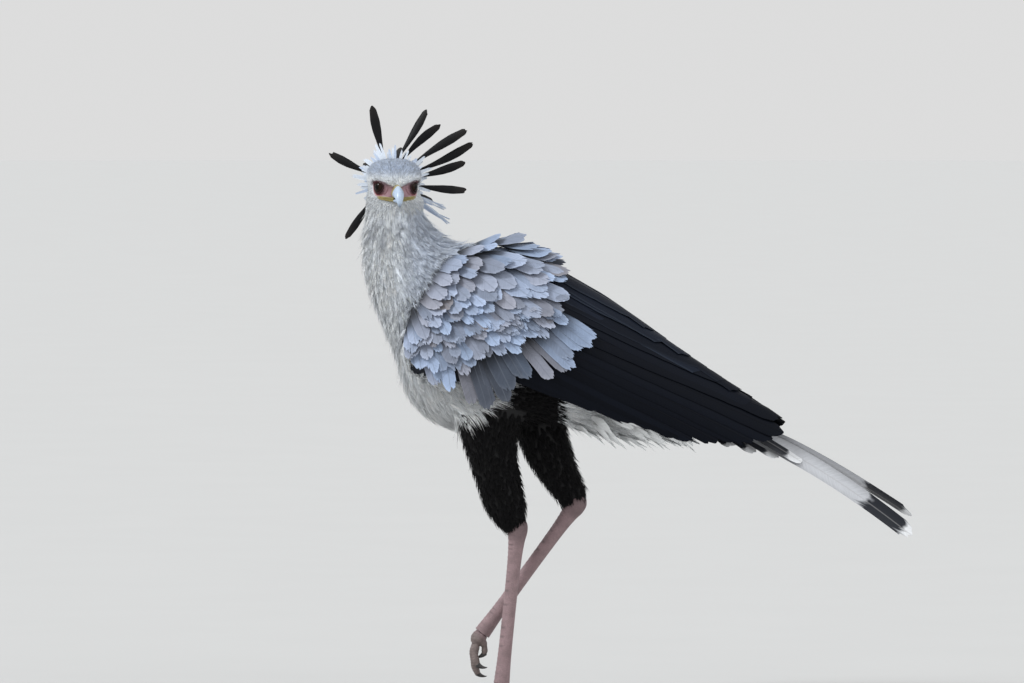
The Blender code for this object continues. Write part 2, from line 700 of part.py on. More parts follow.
def standing_foot(materials):
    """The left foot: a pad and four toes whose soles are flat on the floor, and four claws."""
    joint = LEFT_TOE_JOINT
    rings = []
    for height, radius in PAD_RINGS:
        turns = [2 * math.pi * k / 14 for k in range(14)]
        rings.append([Vector((joint.x + radius * math.cos(a), radius * math.sin(a), height)) for a in turns])
    pad = loft("foot_left", rings, materials["foot"])
    toes, nails = [], []
    for name, (turn, length, thick) in TOES.items():
        heading = Vector((-math.cos(turn), math.sin(turn), 0.0))
        sideways = heading.cross(Vector((0, 0, 1)))
        points, radii = [], []
        for k in range(TOE_SEGMENTS + 1):
            share = k / TOE_SEGMENTS
            radius = toe_radius(thick, share, 0.38)
            points.append(heading * length * share + Vector((joint.x, 0.0, radius * 0.78)))
            radii.append(radius)
        toes.append(loft(name, tube_rings(points, radii, flat=0.95, sides=8, floor=0.0, across=sideways)))
        start = heading * (length - 0.003) + Vector((joint.x, 0.0, thick * 0.62 + 0.0012))
        nails.append((name, start, heading))
    fuse(pad, toes)
    for name, start, heading in nails:

        def way(angle, heading=heading):
            drop = angle - 0.14
            return heading * math.cos(drop) - Vector((0, 0, math.sin(drop)))

        cut(pad, [swollen(claw("claw_left_" + name, start, way, 0.16, materials["claw"]))])
    return pad


def swinging_foot(materials):
    """The right foot, hanging with its toes curled under as the leg swings forward."""
    joint = RIGHT_TOE_JOINT
    along = (RIGHT_TOE_JOINT - RIGHT_ANKLE).normalized()
    base = loft("foot_right", tube_rings(
        [joint - along * 0.004, joint + along * 0.004, joint + along * 0.012, joint + along * 0.020],
        [0.0118, 0.0140, 0.0135, 0.0085], sides=12,
    ), materials["foot"])
    toes, nails = [], []
    for name, (spread, length, thick) in TOES.items():
        angle, bend = HIND_TOE_CURL if name == "hind" else FRONT_TOE_CURL
        aside = Vector((0.0, -math.sin(spread) * 0.38, 0.0))
        point = joint + along * 0.006
        points, radii = [], []
        for k in range(TOE_SEGMENTS + 1):
            points.append(point.copy())
            radii.append(toe_radius(thick, k / TOE_SEGMENTS, 0.40))
            down = Vector((-math.cos(angle), 0.0, -math.sin(angle)))
            point += (down + aside) * length * 0.95 / TOE_SEGMENTS
            angle += bend
        toes.append(loft(name, tube_rings(points, radii, sides=8)))
        nails.append((name, points[-1] - down * 0.003, angle, math.copysign(0.20, bend)))
    fuse(base, toes)
    for name, start, first, bend in nails:

        def way(angle, first=first):
            return Vector((-math.cos(first + angle), 0.0, -math.sin(first + angle)))

        cut(base, [swollen(claw("claw_right_" + name, start, way, bend, materials["claw"]))])
    return base


def head_matrix():
    """Where the head's own axes sit: turned from facing the camera side by the yaw."""
    return Matrix.Translation(HEAD_CENTRE) @ Matrix.Rotation(HEAD_YAW, 4, "Z")


def head_ring(row, sides=24):
    """A level ring of the head; the face end is a little squarer than an ellipse."""
    height, half, front, back = row
    middle, depth = (front + back) / 2, (back - front) / 2
    ring = []
    for i in range(sides):
        turn = 2 * math.pi * i / sides
        cos, sin = math.cos(turn), math.sin(turn)
        ring.append(Vector((
            half * math.copysign(abs(cos) ** 0.92, cos),
            middle + depth * math.copysign(abs(sin) ** 0.96, sin),
            height,
        )))
    return ring


def crest(to_world):
    """The long quill feathers behind the head, each from its own root on the nape."""
    made = []
    draw = random.Random(3)
    radius, ring_y, ring_z = CREST_RING
    shares = (0.0, 0.35, 0.72, 0.92, 1.0)
    for sideways, up, back, angle in CREST_TIPS:
        turn = math.radians(angle)
        root = to_world @ Vector((radius * math.cos(turn), ring_y, ring_z + radius * math.sin(turn)))
        tip = HEAD_CENTRE + Vector((sideways, back, up))
        points, across = [], []
        bow = draw.uniform(-0.006, 0.006)
        way = (tip - root).normalized()
        flat = Vector((0.0, -1.0, 0.0))
        side = way.cross(flat).normalized()
        roll = draw.uniform(-0.45, 0.45)
        side = Matrix.Rotation(roll, 3, way) @ side
        for share in shares:
            points.append(root.lerp(tip, share) + side * bow * math.sin(math.pi * share))
            across.append(side)
        made.append(plain_vane("quill", points, across, "crest", CREST_WIDTH, shares))
    return made


def nape_tufts(to_world):
    """Short pale feathers that stand in a ring between the crown and the crest."""
    made = []
    draw = random.Random(11)
    shares = (0.0, 0.6, 1.0)
    for k in range(NAPE_TUFTS):
        turn = math.radians(-25 + 230 * k / (NAPE_TUFTS - 1))
        out = Vector((math.cos(turn), 0.42, math.sin(turn) * 0.95)).normalized()
        root = Vector((0.036 * math.cos(turn), 0.016, 0.008 + 0.030 * math.sin(turn)))
        reach = draw.uniform(0.026, 0.038)
        side = out.cross(Vector((0.0, 1.0, 0.0))).normalized()
        points = [to_world @ (root + out * reach * share) for share in shares]
        across = [to_world.to_3x3() @ side for _ in shares]
        made.append(plain_vane("tuft", points, across, "tuft", 0.0105, shares))
    return made


def nape_plumes(to_world):
    """Longer loose plumes that hang from the back of the head over the neck."""
    made = []
    shares = (0.0, 0.35, 0.75, 1.0)
    for sideways, up, back in NAPE_PLUMES:
        root = to_world @ Vector((0.024, 0.030, -0.012))
        tip = HEAD_CENTRE + Vector((sideways, back, up))
        side = (tip - root).cross(Vector((0.0, 1.0, 0.0))).normalized()
        points = [root.lerp(tip, share) for share in shares]
        made.append(plain_vane("plume", points, [side] * len(points), "tuft", 0.010, shares))
    return made


def ball(name, centre, radius, scale=(1, 1, 1), segments=16, rings=10, material=None):
    """A closed ball, or an ellipsoid."""
    bm = bmesh.new()
    place = Matrix.Translation(centre) @ Matrix.Diagonal((*scale, 1.0))
    bmesh.ops.create_uvsphere(bm, u_segments=segments, v_segments=rings, radius=radius, matrix=place)
    bmesh.ops.triangulate(bm, faces=bm.faces)
    return new_object(name, bm, material)


def lid_ring(to_world, side):
    """The raised rim of skin round an eye."""
    centre = Vector((side * EYE_CENTRE.x, EYE_CENTRE.y, EYE_CENTRE.z))
    gaze = Vector((side * math.sin(EYE_AZIMUTH), -math.cos(EYE_AZIMUTH), 0.0))
    side_way = gaze.cross(Vector((0, 0, 1))).normalized()
    up_way = side_way.cross(gaze)
    rings = []
    bm = bmesh.new()
    steps, around = 12, 5
    for i in range(steps):
        turn = 2 * math.pi * i / steps
        out = side_way * math.cos(turn) * 1.08 + up_way * math.sin(turn) * 0.93
        middle = centre + gaze * 0.0078 + out * 0.0112
        ring = []
        for k in range(around):
            spin = 2 * math.pi * k / around
            spot = middle + out.normalized() * 0.0023 * math.cos(spin) + gaze * 0.0026 * math.sin(spin)
            ring.append(bm.verts.new(to_world @ spot))
        rings.append(ring)
    for i in range(steps):
        for k in range(around):
            m, n = (i + 1) % steps, (k + 1) % around
            bm.faces.new((rings[i][k], rings[m][k], rings[m][n], rings[i][n]))
    bmesh.ops.triangulate(bm, faces=bm.faces)
    return new_object("lid", bm)


def ridge(name, to_world, side, spots, radii):
    """A soft ridge of skin along a few points of the face."""
    points = [to_world @ Vector((side * x, y, z)) for x, y, z in spots]
    return loft(name, tube_rings(points, radii, sides=6, across=Vector((0.0, 0.0, 1.0))))


def head(materials):
    """The head with its brows, lids, gape, crest and nape feathers, and the bill and eyes set in it."""
    to_world = head_matrix()
    rings = []
    steps = 15
    for k in range(steps + 1):
        row = section_at(HEAD_SECTIONS, (len(HEAD_SECTIONS) - 1) * k / steps)
        rings.append([to_world @ point for point in head_ring(row)])
    base = loft("head", rings, materials["white"])
    extras = crest(to_world) + nape_tufts(to_world) + nape_plumes(to_world)
    for side in (-1, 1):
        extras.append(lid_ring(to_world, side))
        extras.append(ridge("brow", to_world, side, [
            (0.0090, -0.0370, 0.0075), (0.0180, -0.0375, 0.0120), (0.0290, -0.0325, 0.0160),
            (0.0375, -0.0230, 0.0170), (0.0420, -0.0110, 0.0140), (0.0430, 0.0010, 0.0100),
        ], (0.0050, 0.0072, 0.0080, 0.0080, 0.0070, 0.0040)))
        for height in (0.0, -0.0036):
            extras.append(ridge("gape", to_world, side, [
                (0.0080, -0.0440, -0.0200 + height), (0.0165, -0.0405, -0.0195 + height),
                (0.0265, -0.0370, -0.0190 + height), (0.0350, -0.0290, -0.0185 + height * 0.7),
            ], (0.0016, 0.0017, 0.0017, 0.0012)))
    fuse(base, extras)

    upper_rings = []
    for k in range(2 * (len(UPPER_BILL) - 1) + 1):
        top_y, top_z, low_y, low_z, half = section_at(UPPER_BILL, k / 2)
        ring = []
        for i in range(10):
            turn = 2 * math.pi * i / 10
            share = 0.5 - 0.5 * math.cos(turn)
            spread = math.copysign(abs(math.sin(turn)) ** 0.85, math.sin(turn)) * (1.15 - 0.3 * share)
            y, z = low_y + (top_y - low_y) * share, low_z + (top_z - low_z) * share
            ring.append(to_world @ Vector((half * spread, y, z)))
        upper_rings.append(ring)
    bill = loft("bill_upper", upper_rings, materials["bill"])
    for side in (-1, 1):
        spot = to_world @ Vector((side * 0.0108, -0.0500, -0.0045))
        cut(bill, [ball("nostril", spot, 0.0022, (1.0, 1.4, 0.8), 8, 6)])

    lower_rings = []
    for k in range(2 * (len(LOWER_BILL) - 1) + 1):
        y, top_z, low_z, half = section_at(LOWER_BILL, k / 2)
        ring = []
        for i in range(10):
            turn = 2 * math.pi * i / 10
            z = (top_z + low_z) / 2 + (top_z - low_z) / 2 * math.sin(turn)
            ring.append(to_world @ Vector((half * math.cos(turn), y, z)))
        lower_rings.append(ring)
    lower = loft("bill_lower", lower_rings, materials["bill"])
    cut(lower, [swollen(bill)])

    eyes = []
    for side, name in ((-1, "eye_right"), (1, "eye_left")):
        centre = to_world @ Vector((side * EYE_CENTRE.x, EYE_CENTRE.y, EYE_CENTRE.z))
        eyes.append(ball(name, centre, EYE_RADIUS, segments=12, rings=7, material=materials["eye"]))
    cut(base, [swollen(piece) for piece in (bill, lower, *eyes)])
    return base


def build():
    """Builds every node of the bird."""
    materials = {
        "white": surface("white_down", (0.72, 0.72, 0.74), 0.85),
        "grey": surface("grey_feather", (0.42, 0.44, 0.50), 0.75),
        "black": surface("black_feather", (0.012, 0.012, 0.016), 0.55),
        "skin": surface("pink_shank", (0.42, 0.27, 0.27), 0.55),
        "foot": surface("foot_skin", (0.30, 0.24, 0.23), 0.60),
        "claw": surface("claw_horn", (0.03, 0.028, 0.028), 0.35),
        "bill": surface("bill_horn", (0.50, 0.56, 0.60), 0.35),
        "eye": surface("eye", (0.035, 0.018, 0.012), 0.08),
    }
    neck = body_part("neck", 0.0, NECK_END, 0.7, materials["white"], 20)
    for vert in neck.data.vertices:
        vert.co.z = min(vert.co.z, HEAD_CENTRE.z + HEAD_SECTIONS[0][0] - GAP)
    torso = body_part("torso", NECK_END, TAIL_START, 0.8, materials["white"], 20)
    tail(materials["grey"])
    thighs = [
        thigh("thigh_left", LEFT_THIGH, MID_Y - HIP_SPREAD, LEFT_ANKLE, materials["black"]),
        thigh("thigh_right", RIGHT_THIGH, MID_Y + HIP_SPREAD, RIGHT_ANKLE, materials["black"]),
    ]
    shanks = [
        shank("shank_left", LEFT_ANKLE, LEFT_TOE_JOINT, materials["skin"]),
        shank("shank_right", RIGHT_ANKLE, RIGHT_TOE_JOINT, materials["skin"]),
    ]
    feet = [standing_foot(materials), swinging_foot(materials)]
    for limb, bone, foot in zip(thighs, shanks, feet):
        cut(limb, [swollen(bone)])
        cut(bone, [swollen(foot)])
    cut(torso, [swollen(limb) for limb in thighs])
    wing("wing_left", -1, (torso, neck), materials["grey"])
    wing("wing_right", 1, (torso, neck), materials["grey"])
    head(materials)


for leftover in list(bpy.data.objects):
    bpy.data.objects.remove(leftover)
PARTS = bpy.data.collections.new("secretary_bird")
bpy.context.scene.collection.children.link(PARTS)
build()
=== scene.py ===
"""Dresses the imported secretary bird: one skin, its plumage, face, legs and feet, and a plain studio.

Frame: metres, +Z up. The body faces -X and its left side and face point to -Y. The origin is the
middle of the sole of the left foot, the one that stands.
"""

import math
import random

import bmesh
import bpy
import numpy as np
from bpy.props import FloatProperty, FloatVectorProperty, IntProperty, PointerProperty
from mathutils import Matrix, Vector
from mathutils.bvhtree import BVHTree
from mathutils.kdtree import KDTree


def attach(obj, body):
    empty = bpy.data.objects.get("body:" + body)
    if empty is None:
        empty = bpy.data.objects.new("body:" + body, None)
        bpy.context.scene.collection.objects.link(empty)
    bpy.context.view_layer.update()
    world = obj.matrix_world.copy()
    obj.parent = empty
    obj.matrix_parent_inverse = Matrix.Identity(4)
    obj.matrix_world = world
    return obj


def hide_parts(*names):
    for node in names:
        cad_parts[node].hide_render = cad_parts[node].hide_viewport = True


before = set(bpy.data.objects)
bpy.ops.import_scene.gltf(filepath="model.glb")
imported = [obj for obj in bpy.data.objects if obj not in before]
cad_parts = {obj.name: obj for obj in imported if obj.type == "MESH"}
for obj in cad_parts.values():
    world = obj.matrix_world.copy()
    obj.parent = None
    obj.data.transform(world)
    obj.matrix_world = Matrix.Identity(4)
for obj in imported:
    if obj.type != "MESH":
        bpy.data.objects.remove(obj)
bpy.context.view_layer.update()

bl_info = {
    "name": "Secretary bird",
    "version": (1, 0, 0),
    "blender": (4, 5, 0),
    "location": "View3D > Sidebar > Bird",
    "description": "Builds the skin, plumage, face and legs of a life-size secretary bird",
    "category": "Object",
}

UPWARDS = (0.0, 0.0, 1.0)

# Driving sizes, the same as those of the solids
MID_Y = -0.002
HEAD_CENTRE = np.array([-0.188, MID_Y, 0.9525])
HEAD_YAW = math.radians(8.0)
EYE_RADIUS = 0.0125
EYE_CENTRE = np.array([0.027, -0.0218, 0.0005])
EYE_AZIMUTH = math.radians(52.0)
SHANK_RADIUS = 0.0112

# Neck and body: throat side point, back side point (x, z), and half width.
BODY_SECTIONS = [
    (-0.241, 0.904, -0.131, 0.904, 0.05), (-0.25, 0.866, -0.118, 0.887, 0.054),
    (-0.251, 0.822, -0.098, 0.868, 0.061), (-0.244, 0.777, -0.07, 0.85, 0.07),
    (-0.229, 0.732, -0.035, 0.846, 0.08), (-0.208, 0.682, 0.005, 0.836, 0.089),
    (-0.187, 0.63, 0.045, 0.819, 0.0945), (-0.17, 0.57, 0.085, 0.795, 0.095),
    (-0.128, 0.521, 0.125, 0.763, 0.092), (-0.066, 0.503, 0.165, 0.729, 0.088),
    (0.008, 0.507, 0.205, 0.694, 0.081), (0.08, 0.515, 0.245, 0.659, 0.07),
    (0.15, 0.508, 0.283, 0.626, 0.056), (0.215, 0.494, 0.318, 0.598, 0.043),
    (0.275, 0.491, 0.347, 0.573, 0.032), (0.328, 0.492, 0.374, 0.549, 0.021),
    (0.357, 0.491, 0.388, 0.528, 0.01),
]
# Depth of the coat at each of those sections.
COAT_DEPTH = [
    .007, .008, .009, .009, .009, .009, .009, .01, .01, .01, .01, .009, .008, .008, .006, .005, .003
]

HEAD_COAT = 0.0025
THIGH_COAT = 0.006
BODY_END = len(BODY_SECTIONS) - 1
BREAST_PLACE = 4.4           # section where the neck's plumes give way to the breast's
BELLY_PLACE = 7.6            # and the breast's to the belly's

# Surface that the folded wings lie on: x, upper edge z, lower edge z, half width.
WING_SECTIONS = [
    (-0.205, 0.795, 0.52, 0.052), (-0.155, 0.838, 0.5, 0.086), (-0.1, 0.849, 0.485, 0.104),
    (-0.035, 0.852, 0.48, 0.112), (0.03, 0.846, 0.47, 0.113), (0.095, 0.815, 0.46, 0.108),
    (0.165, 0.771, 0.45, 0.096), (0.24, 0.72, 0.44, 0.08), (0.32, 0.662, 0.42, 0.064),
    (0.4, 0.607, 0.4, 0.05), (0.48, 0.555, 0.38, 0.039), (0.57, 0.496, 0.35, 0.031),
]
# The wing's fleshy pad, seen from the side: x, lower edge z, upper edge z.
PAD_EDGES = [
    (-0.18, 0.65, 0.672), (-0.164, 0.61, 0.716), (-0.135, 0.606, 0.776), (-0.095, 0.598, 0.83),
    (-0.04, 0.588, 0.85), (0.02, 0.59, 0.846), (0.08, 0.612, 0.819), (0.13, 0.638, 0.78),
    (0.17, 0.664, 0.742), (0.192, 0.684, 0.716),
]
PAD_RISE = 0.0045
# Lines of feather roots and tips on the folded wing, from rear to front, lowest layer first:
# width, height over the pad, roots and tips as side view points (x, z).
FLIGHT_ROOTS = [(0.035, 0.832), (0.055, 0.768), (0.055, 0.705), (0.03, 0.655), (-0.005, 0.622)]
FLIGHT_TIPS = [
    (0.288, 0.69), (0.376, 0.624), (0.454, 0.573), (0.524, 0.519),
    (0.478, 0.487), (0.38, 0.489), (0.29, 0.512), (0.185, 0.554),
]
COVERT_LINES = [
    (0.034, 0.002, [(0.098, 0.735), (0.05, 0.7), (-0.01, 0.68), (-0.07, 0.668), (-0.15, 0.668)],
     [(0.184, 0.664), (0.128, 0.624), (0.04, 0.592), (-0.04, 0.566), (-0.132, 0.612)]),
    (0.029, 0.0045, [(0.062, 0.756), (0.01, 0.718), (-0.05, 0.702), (-0.105, 0.69), (-0.16, 0.685)],
     [(0.12, 0.698), (0.066, 0.672), (-0.005, 0.64), (-0.07, 0.616), (-0.148, 0.632)]),
    (0.026, 0.0065, [(0.02, 0.762), (-0.03, 0.738), (-0.085, 0.722), (-0.125, 0.712), (-0.162, 0.7)],
     [(0.074, 0.708), (0.02, 0.692), (-0.046, 0.67), (-0.1, 0.66), (-0.156, 0.652)]),
    (0.033, 0.0085, [(0.045, 0.775), (-0.02, 0.775), (-0.09, 0.768), (-0.15, 0.752)],
     [(0.124, 0.722), (0.05, 0.716), (-0.04, 0.716), (-0.112, 0.706)]),
    (0.037, 0.0105, [(0.035, 0.814), (-0.02, 0.816), (-0.08, 0.806), (-0.13, 0.786)],
     [(0.126, 0.766), (0.065, 0.756), (-0.015, 0.752), (-0.084, 0.742)]),
    (0.034, 0.011, [(0.05, 0.832), (0.01, 0.848), (-0.036, 0.8505), (-0.07, 0.838), (-0.115, 0.818)],
     [(0.114, 0.799), (0.08, 0.821), (0.036, 0.8425), (-0.01, 0.818), (-0.058, 0.788)]),
]

# Levels of the covert rows between those lines, and feathers in the row on each line.
COVERT_LEVELS = (0, 1, 1.5, 2, 2.3, 2.65, 3, 3.5, 4, 4.5, 5)
COVERT_COUNTS = (18, 17, 16, 13, 12, 10)

# Tail feathers: side view tip (x, z), width, roll from flat, offset from the mid plane, and bow.
TAIL_ROOT = np.array([0.335, MID_Y, 0.562])
TAIL_FEATHERS = [
    (0.762, 0.347, 0.036, 0.55, 0.0075, 0.02), (0.56, 0.447, 0.036, 0.75, 0.012, 0.01),
    (0.518, 0.456, 0.036, 0.9, 0.015, 0.008), (0.476, 0.466, 0.035, 1.05, 0.0175, 0.008),
    (0.436, 0.476, 0.034, 1.15, 0.0195, 0.006),
]
SHORT_TAIL_FEATHER = (0.47, 0.505, 0.03, 0.8, 0.009, 0.006)
LEFT_CENTRAL_DROP = 0.025

# Thighs in side view: front point, back point (x, z), half width, and share of the way to the ankle.
LEFT_THIGH = [
    (-0.082, 0.556, 0.062, 0.572, 0.04, 0.0), (-0.072, 0.5, 0.046, 0.52, 0.039, 0.15),
    (-0.056, 0.452, 0.041, 0.468, 0.035, 0.35), (-0.041, 0.405, 0.048, 0.418, 0.03, 0.6),
    (-0.025, 0.36, 0.057, 0.374, 0.026, 0.8), (-0.004, 0.33, 0.056, 0.342, 0.021, 0.93),
    (0.018, 0.314, 0.051, 0.322, 0.015, 1.0),
]
RIGHT_THIGH = [
    (0.012, 0.572, 0.122, 0.586, 0.04, 0.0), (0.027, 0.51, 0.128, 0.528, 0.039, 0.15),
    (0.047, 0.455, 0.143, 0.466, 0.034, 0.4), (0.079, 0.406, 0.156, 0.426, 0.028, 0.68),
    (0.103, 0.376, 0.167, 0.396, 0.022, 0.88), (0.119, 0.356, 0.163, 0.372, 0.015, 1.0),
]
HIP_SPREAD = 0.047
LEFT_ANKLE = np.array([0.0385, 0.006, 0.328])
LEFT_TOE_JOINT = np.array([0.007, 0.0, 0.026])
RIGHT_ANKLE = np.array([0.147, MID_Y + 0.044, 0.369])
RIGHT_TOE_JOINT = np.array([-0.03, MID_Y + 0.04, 0.127])
LIMBS = {
    "left": (LEFT_THIGH, MID_Y - HIP_SPREAD, LEFT_ANKLE, LEFT_TOE_JOINT),
    "right": (RIGHT_THIGH, MID_Y + HIP_SPREAD, RIGHT_ANKLE, RIGHT_TOE_JOINT),
}
# Toes: angle from straight ahead, length, and root radius.
TOES = {
    "middle": (0.0, 0.074, 0.0092), "inner": (math.radians(34.0), 0.056, 0.0084),
    "outer": (math.radians(-36.0), 0.057, 0.0082), "hind": (math.radians(176.0), 0.036, 0.0078),
}
TOE_SEGMENTS = 5
CLAW_LENGTH = 0.02
CLAW_RADIUS = 0.0046
# Pad of the standing foot: height and radius. Shank: share of the way down and radius as a share.
PAD_RINGS = [(0.0, 0.0135), (0.006, 0.0165), (0.016, 0.016), (0.026, 0.015), (0.034, 0.0142)]
SHANK_RINGS = [
    (-0.055, 0.8), (-0.02, 1.35), (0.03, 1.45), (0.09, 1.2), (0.2, 1.02),
    (0.4, 0.95), (0.6, 0.95), (0.8, 1.0), (0.92, 1.12), (0.985, 1.2),
]
# Lifted toes: angle of the first joint below straight ahead, and bend at each joint after it.
FRONT_TOE_CURL = (1.15, 0.2)
HIND_TOE_CURL = (2.35, -0.24)

# Head in its own axes (-Y forwards): height, half width, front y, back y.
HEAD_SECTIONS = [
    (-0.0481, 0.053, -0.048, 0.056), (-0.037, 0.0525, -0.0475, 0.06),
    (-0.026, 0.0515, -0.045, 0.063), (-0.013, 0.049, -0.0415, 0.064),
    (0.001, 0.047, -0.04, 0.064), (0.013, 0.05, -0.0415, 0.062),
    (0.024, 0.051, -0.04, 0.0585), (0.035, 0.0475, -0.035, 0.052),
    (0.0435, 0.04, -0.027, 0.0435), (0.0495, 0.0285, -0.0165, 0.0325),
    (0.0525, 0.013, -0.003, 0.018),
]
HEAD_END = len(HEAD_SECTIONS) - 1
# Upper bill: culmen point (y, z), cutting edge point (y, z), half width.
UPPER_BILL = [
    (-0.03, 0.003, -0.03, -0.02, 0.0105), (-0.044, 0.0045, -0.043, -0.0202, 0.0125),
    (-0.0555, 0.0022, -0.053, -0.0202, 0.0117), (-0.0655, -0.004, -0.06, -0.0204, 0.0104),
    (-0.0728, -0.0125, -0.0655, -0.0216, 0.0088), (-0.0763, -0.0215, -0.0697, -0.025, 0.0066),
    (-0.0768, -0.0295, -0.0728, -0.0305, 0.0042), (-0.0752, -0.0358, -0.0742, -0.0352, 0.0016),
]
NOSTRIL = np.array([0.0128, -0.049, -0.005])
# Lower bill: y, top z, bottom z, half width.
LOWER_BILL = [
    (-0.031, -0.0212, -0.029, 0.0085), (-0.044, -0.021, -0.029, 0.0098),
    (-0.056, -0.0212, -0.0278, 0.0078), (-0.0645, -0.0226, -0.0262, 0.0036),
]
# Ridge over each eye and fold at the corner of the mouth, in the head's axes, and the ridge's radii.
BROW = [
    (0.009, -0.037, 0.0075), (0.018, -0.0375, 0.012), (0.029, -0.0325, 0.016),
    (0.0375, -0.023, 0.017), (0.042, -0.011, 0.014), (0.043, 0.001, 0.01),
]
BROW_RADII = (0.005, 0.0072, 0.008, 0.008, 0.007, 0.004)
GAPE = [
    (0.007, -0.0475, -0.0205), (0.0165, -0.0415, -0.02), (0.0265, -0.0375, -0.0185), (0.0355, -0.029, -0.017),
]
# Crest quills: tip seen from the front (sideways, up) from the head's centre, reach backwards, root angle.
CREST_TIPS = [
    (-0.122, 0.062, 0.06, 165), (-0.042, 0.1495, 0.055, 118), (0.059, 0.142, 0.06, 96),
    (0.085, 0.114, 0.05, 72), (0.134, 0.105, 0.055, 40), (0.145, 0.08, 0.065, 25),
    (0.131, 0.045, 0.06, 5), (0.135, -0.008, 0.065, -20), (-0.092, -0.098, 0.085, 215),
    (-0.06, 0.04, 0.15, 150), (0.07, -0.03, 0.15, -45), (0.0, -0.07, 0.15, 260),
    (0.01, 0.07, 0.165, 90),
]
CREST_RING = (0.02, 0.034, 0.012)
CREST_WIDTH = 0.017
# Long plumes behind the nape: tip seen from the front (sideways, up), and reach backwards.
NAPE_PLUMES = [(0.074, -0.03, 0.055), (0.104, -0.064, 0.05), (0.094, -0.038, 0.085)]

# View of the reference: metres per pixel, and the frame pixel over the middle of the sole.
PIXEL = 1.0 / 545.0
FRAME_SIZE = (1024, 683)
SOLE_PIXEL = (497, 706)
CAMERA_LENS = 350.0
SENSOR_WIDTH = 36.0
CAMERA_RISE = math.radians(2.0)

# Width of a feather along its length, as shares of the length and of the full width.
COVERT_PROFILE = [(0.0, 0.34), (0.3, 0.86), (0.55, 1.0), (1.0, 0.97)]
FLIGHT_PROFILE = [(0.0, 0.16), (0.22, 0.72), (0.5, 1.0), (1.0, 0.92)]
CREST_PROFILE = [(0.0, 0.2), (0.3, 0.32), (0.66, 0.92), (0.82, 1.0), (1.0, 0.72)]
TUFT_PROFILE = [(0.0, 0.45), (0.5, 1.0), (1.0, 0.6)]
# Feathers: rows, columns, profile, roundness of the tip, length torn off, and curl or cup.
FLIGHT_SHAPE = (22, 11, FLIGHT_PROFILE, 1.7, 0.005, 0.001)
COVERT_SHAPE = (9, 17, COVERT_PROFILE, 2.1, 0.0044, 0.0042)
TAIL_SHAPE = (70, 9, FLIGHT_PROFILE, 2.2, 0.004, 0.18)
UNDERTAIL_SHAPE = (9, 15, TUFT_PROFILE, 1.8, 0.006, 0.3)
CREST_SHAPE = (26, 9, CREST_PROFILE, 1.5, 0.0022, 0.22)
NAPE_SHAPE = (8, 7, TUFT_PROFILE, 1.3, 0.003, 0.15)
# Body plumes: barbs, barb half width, fan half width, rise over the coat, cup and stray.
PLUME_LOOKS = {
    "neck": (12, 0.00047, 0.0066, 0.0026, 0.0008, 0.22),
    "breast": (14, 0.00054, 0.0082, 0.0026, 0.001, 0.2),
    "belly": (13, 0.00065, 0.0092, 0.0048, 0.0016, 0.3),
    "head": (5, 0.0004, 0.0019, 0.0004, 0.0001, 0.16),
    "thigh": (6, 0.001, 0.0046, 0.0012, 0.0008, 0.16),
}

SKIN_VOXEL = 0.0034          # grids that join the overlapping bodies of skin and feet
FOOT_VOXEL = 0.0011
SHANK_SCUTE = 0.0085         # spacing of the scutes
TOE_SCUTE = 0.0046
SCUTE_STEPS = 170
PATCH = 0.003                # side of each feather's patch on the bake map
STATE = {}                   # what the skin operator leaves for the plumage operators


def size_of(label, note, default):
    """A size that shows in the scene's units."""
    return FloatProperty(
        name=label, description=note, default=default, min=0.0, max=0.3, unit="LENGTH", precision=4
    )


def tint_of(label, note, default):
    """A linear colour."""
    return FloatVectorProperty(
        name=label, description=note, default=default, subtype="COLOR", min=0.0, max=1.0
    )


def share_of(label, note, default):
    """A plain share."""
    return FloatProperty(name=label, description=note, default=default, min=0.0, max=4.0)


class BirdPlumage(bpy.types.PropertyGroup):
    """Sizes of the plumage."""

    neck_length: size_of("Neck", "Length of a neck plume", 0.036)
    breast_length: size_of("Breast", "Length of a breast plume", 0.044)
    belly_length: size_of("Belly", "Length of a belly or undertail plume", 0.058)
    head_length: size_of("Head", "Length of a crown or cheek feather", 0.0125)
    thigh_length: size_of("Thigh", "Length of a thigh feather", 0.026)
    neck_spacing: size_of("Neck spacing", "Distance between neck plumes", 0.0059)
    breast_spacing: size_of("Breast spacing", "Distance between breast plumes", 0.0071)
    belly_spacing: size_of("Belly spacing", "Distance between belly plumes", 0.0082)
    head_spacing: size_of("Head spacing", "Distance between feathers of the head", 0.0023)
    thigh_spacing: size_of("Thigh spacing", "Distance between thigh feathers", 0.0062)
    flight_count: IntProperty(
        name="Flight feathers", description="Long feathers of each wing", default=20, min=8, max=30
    )


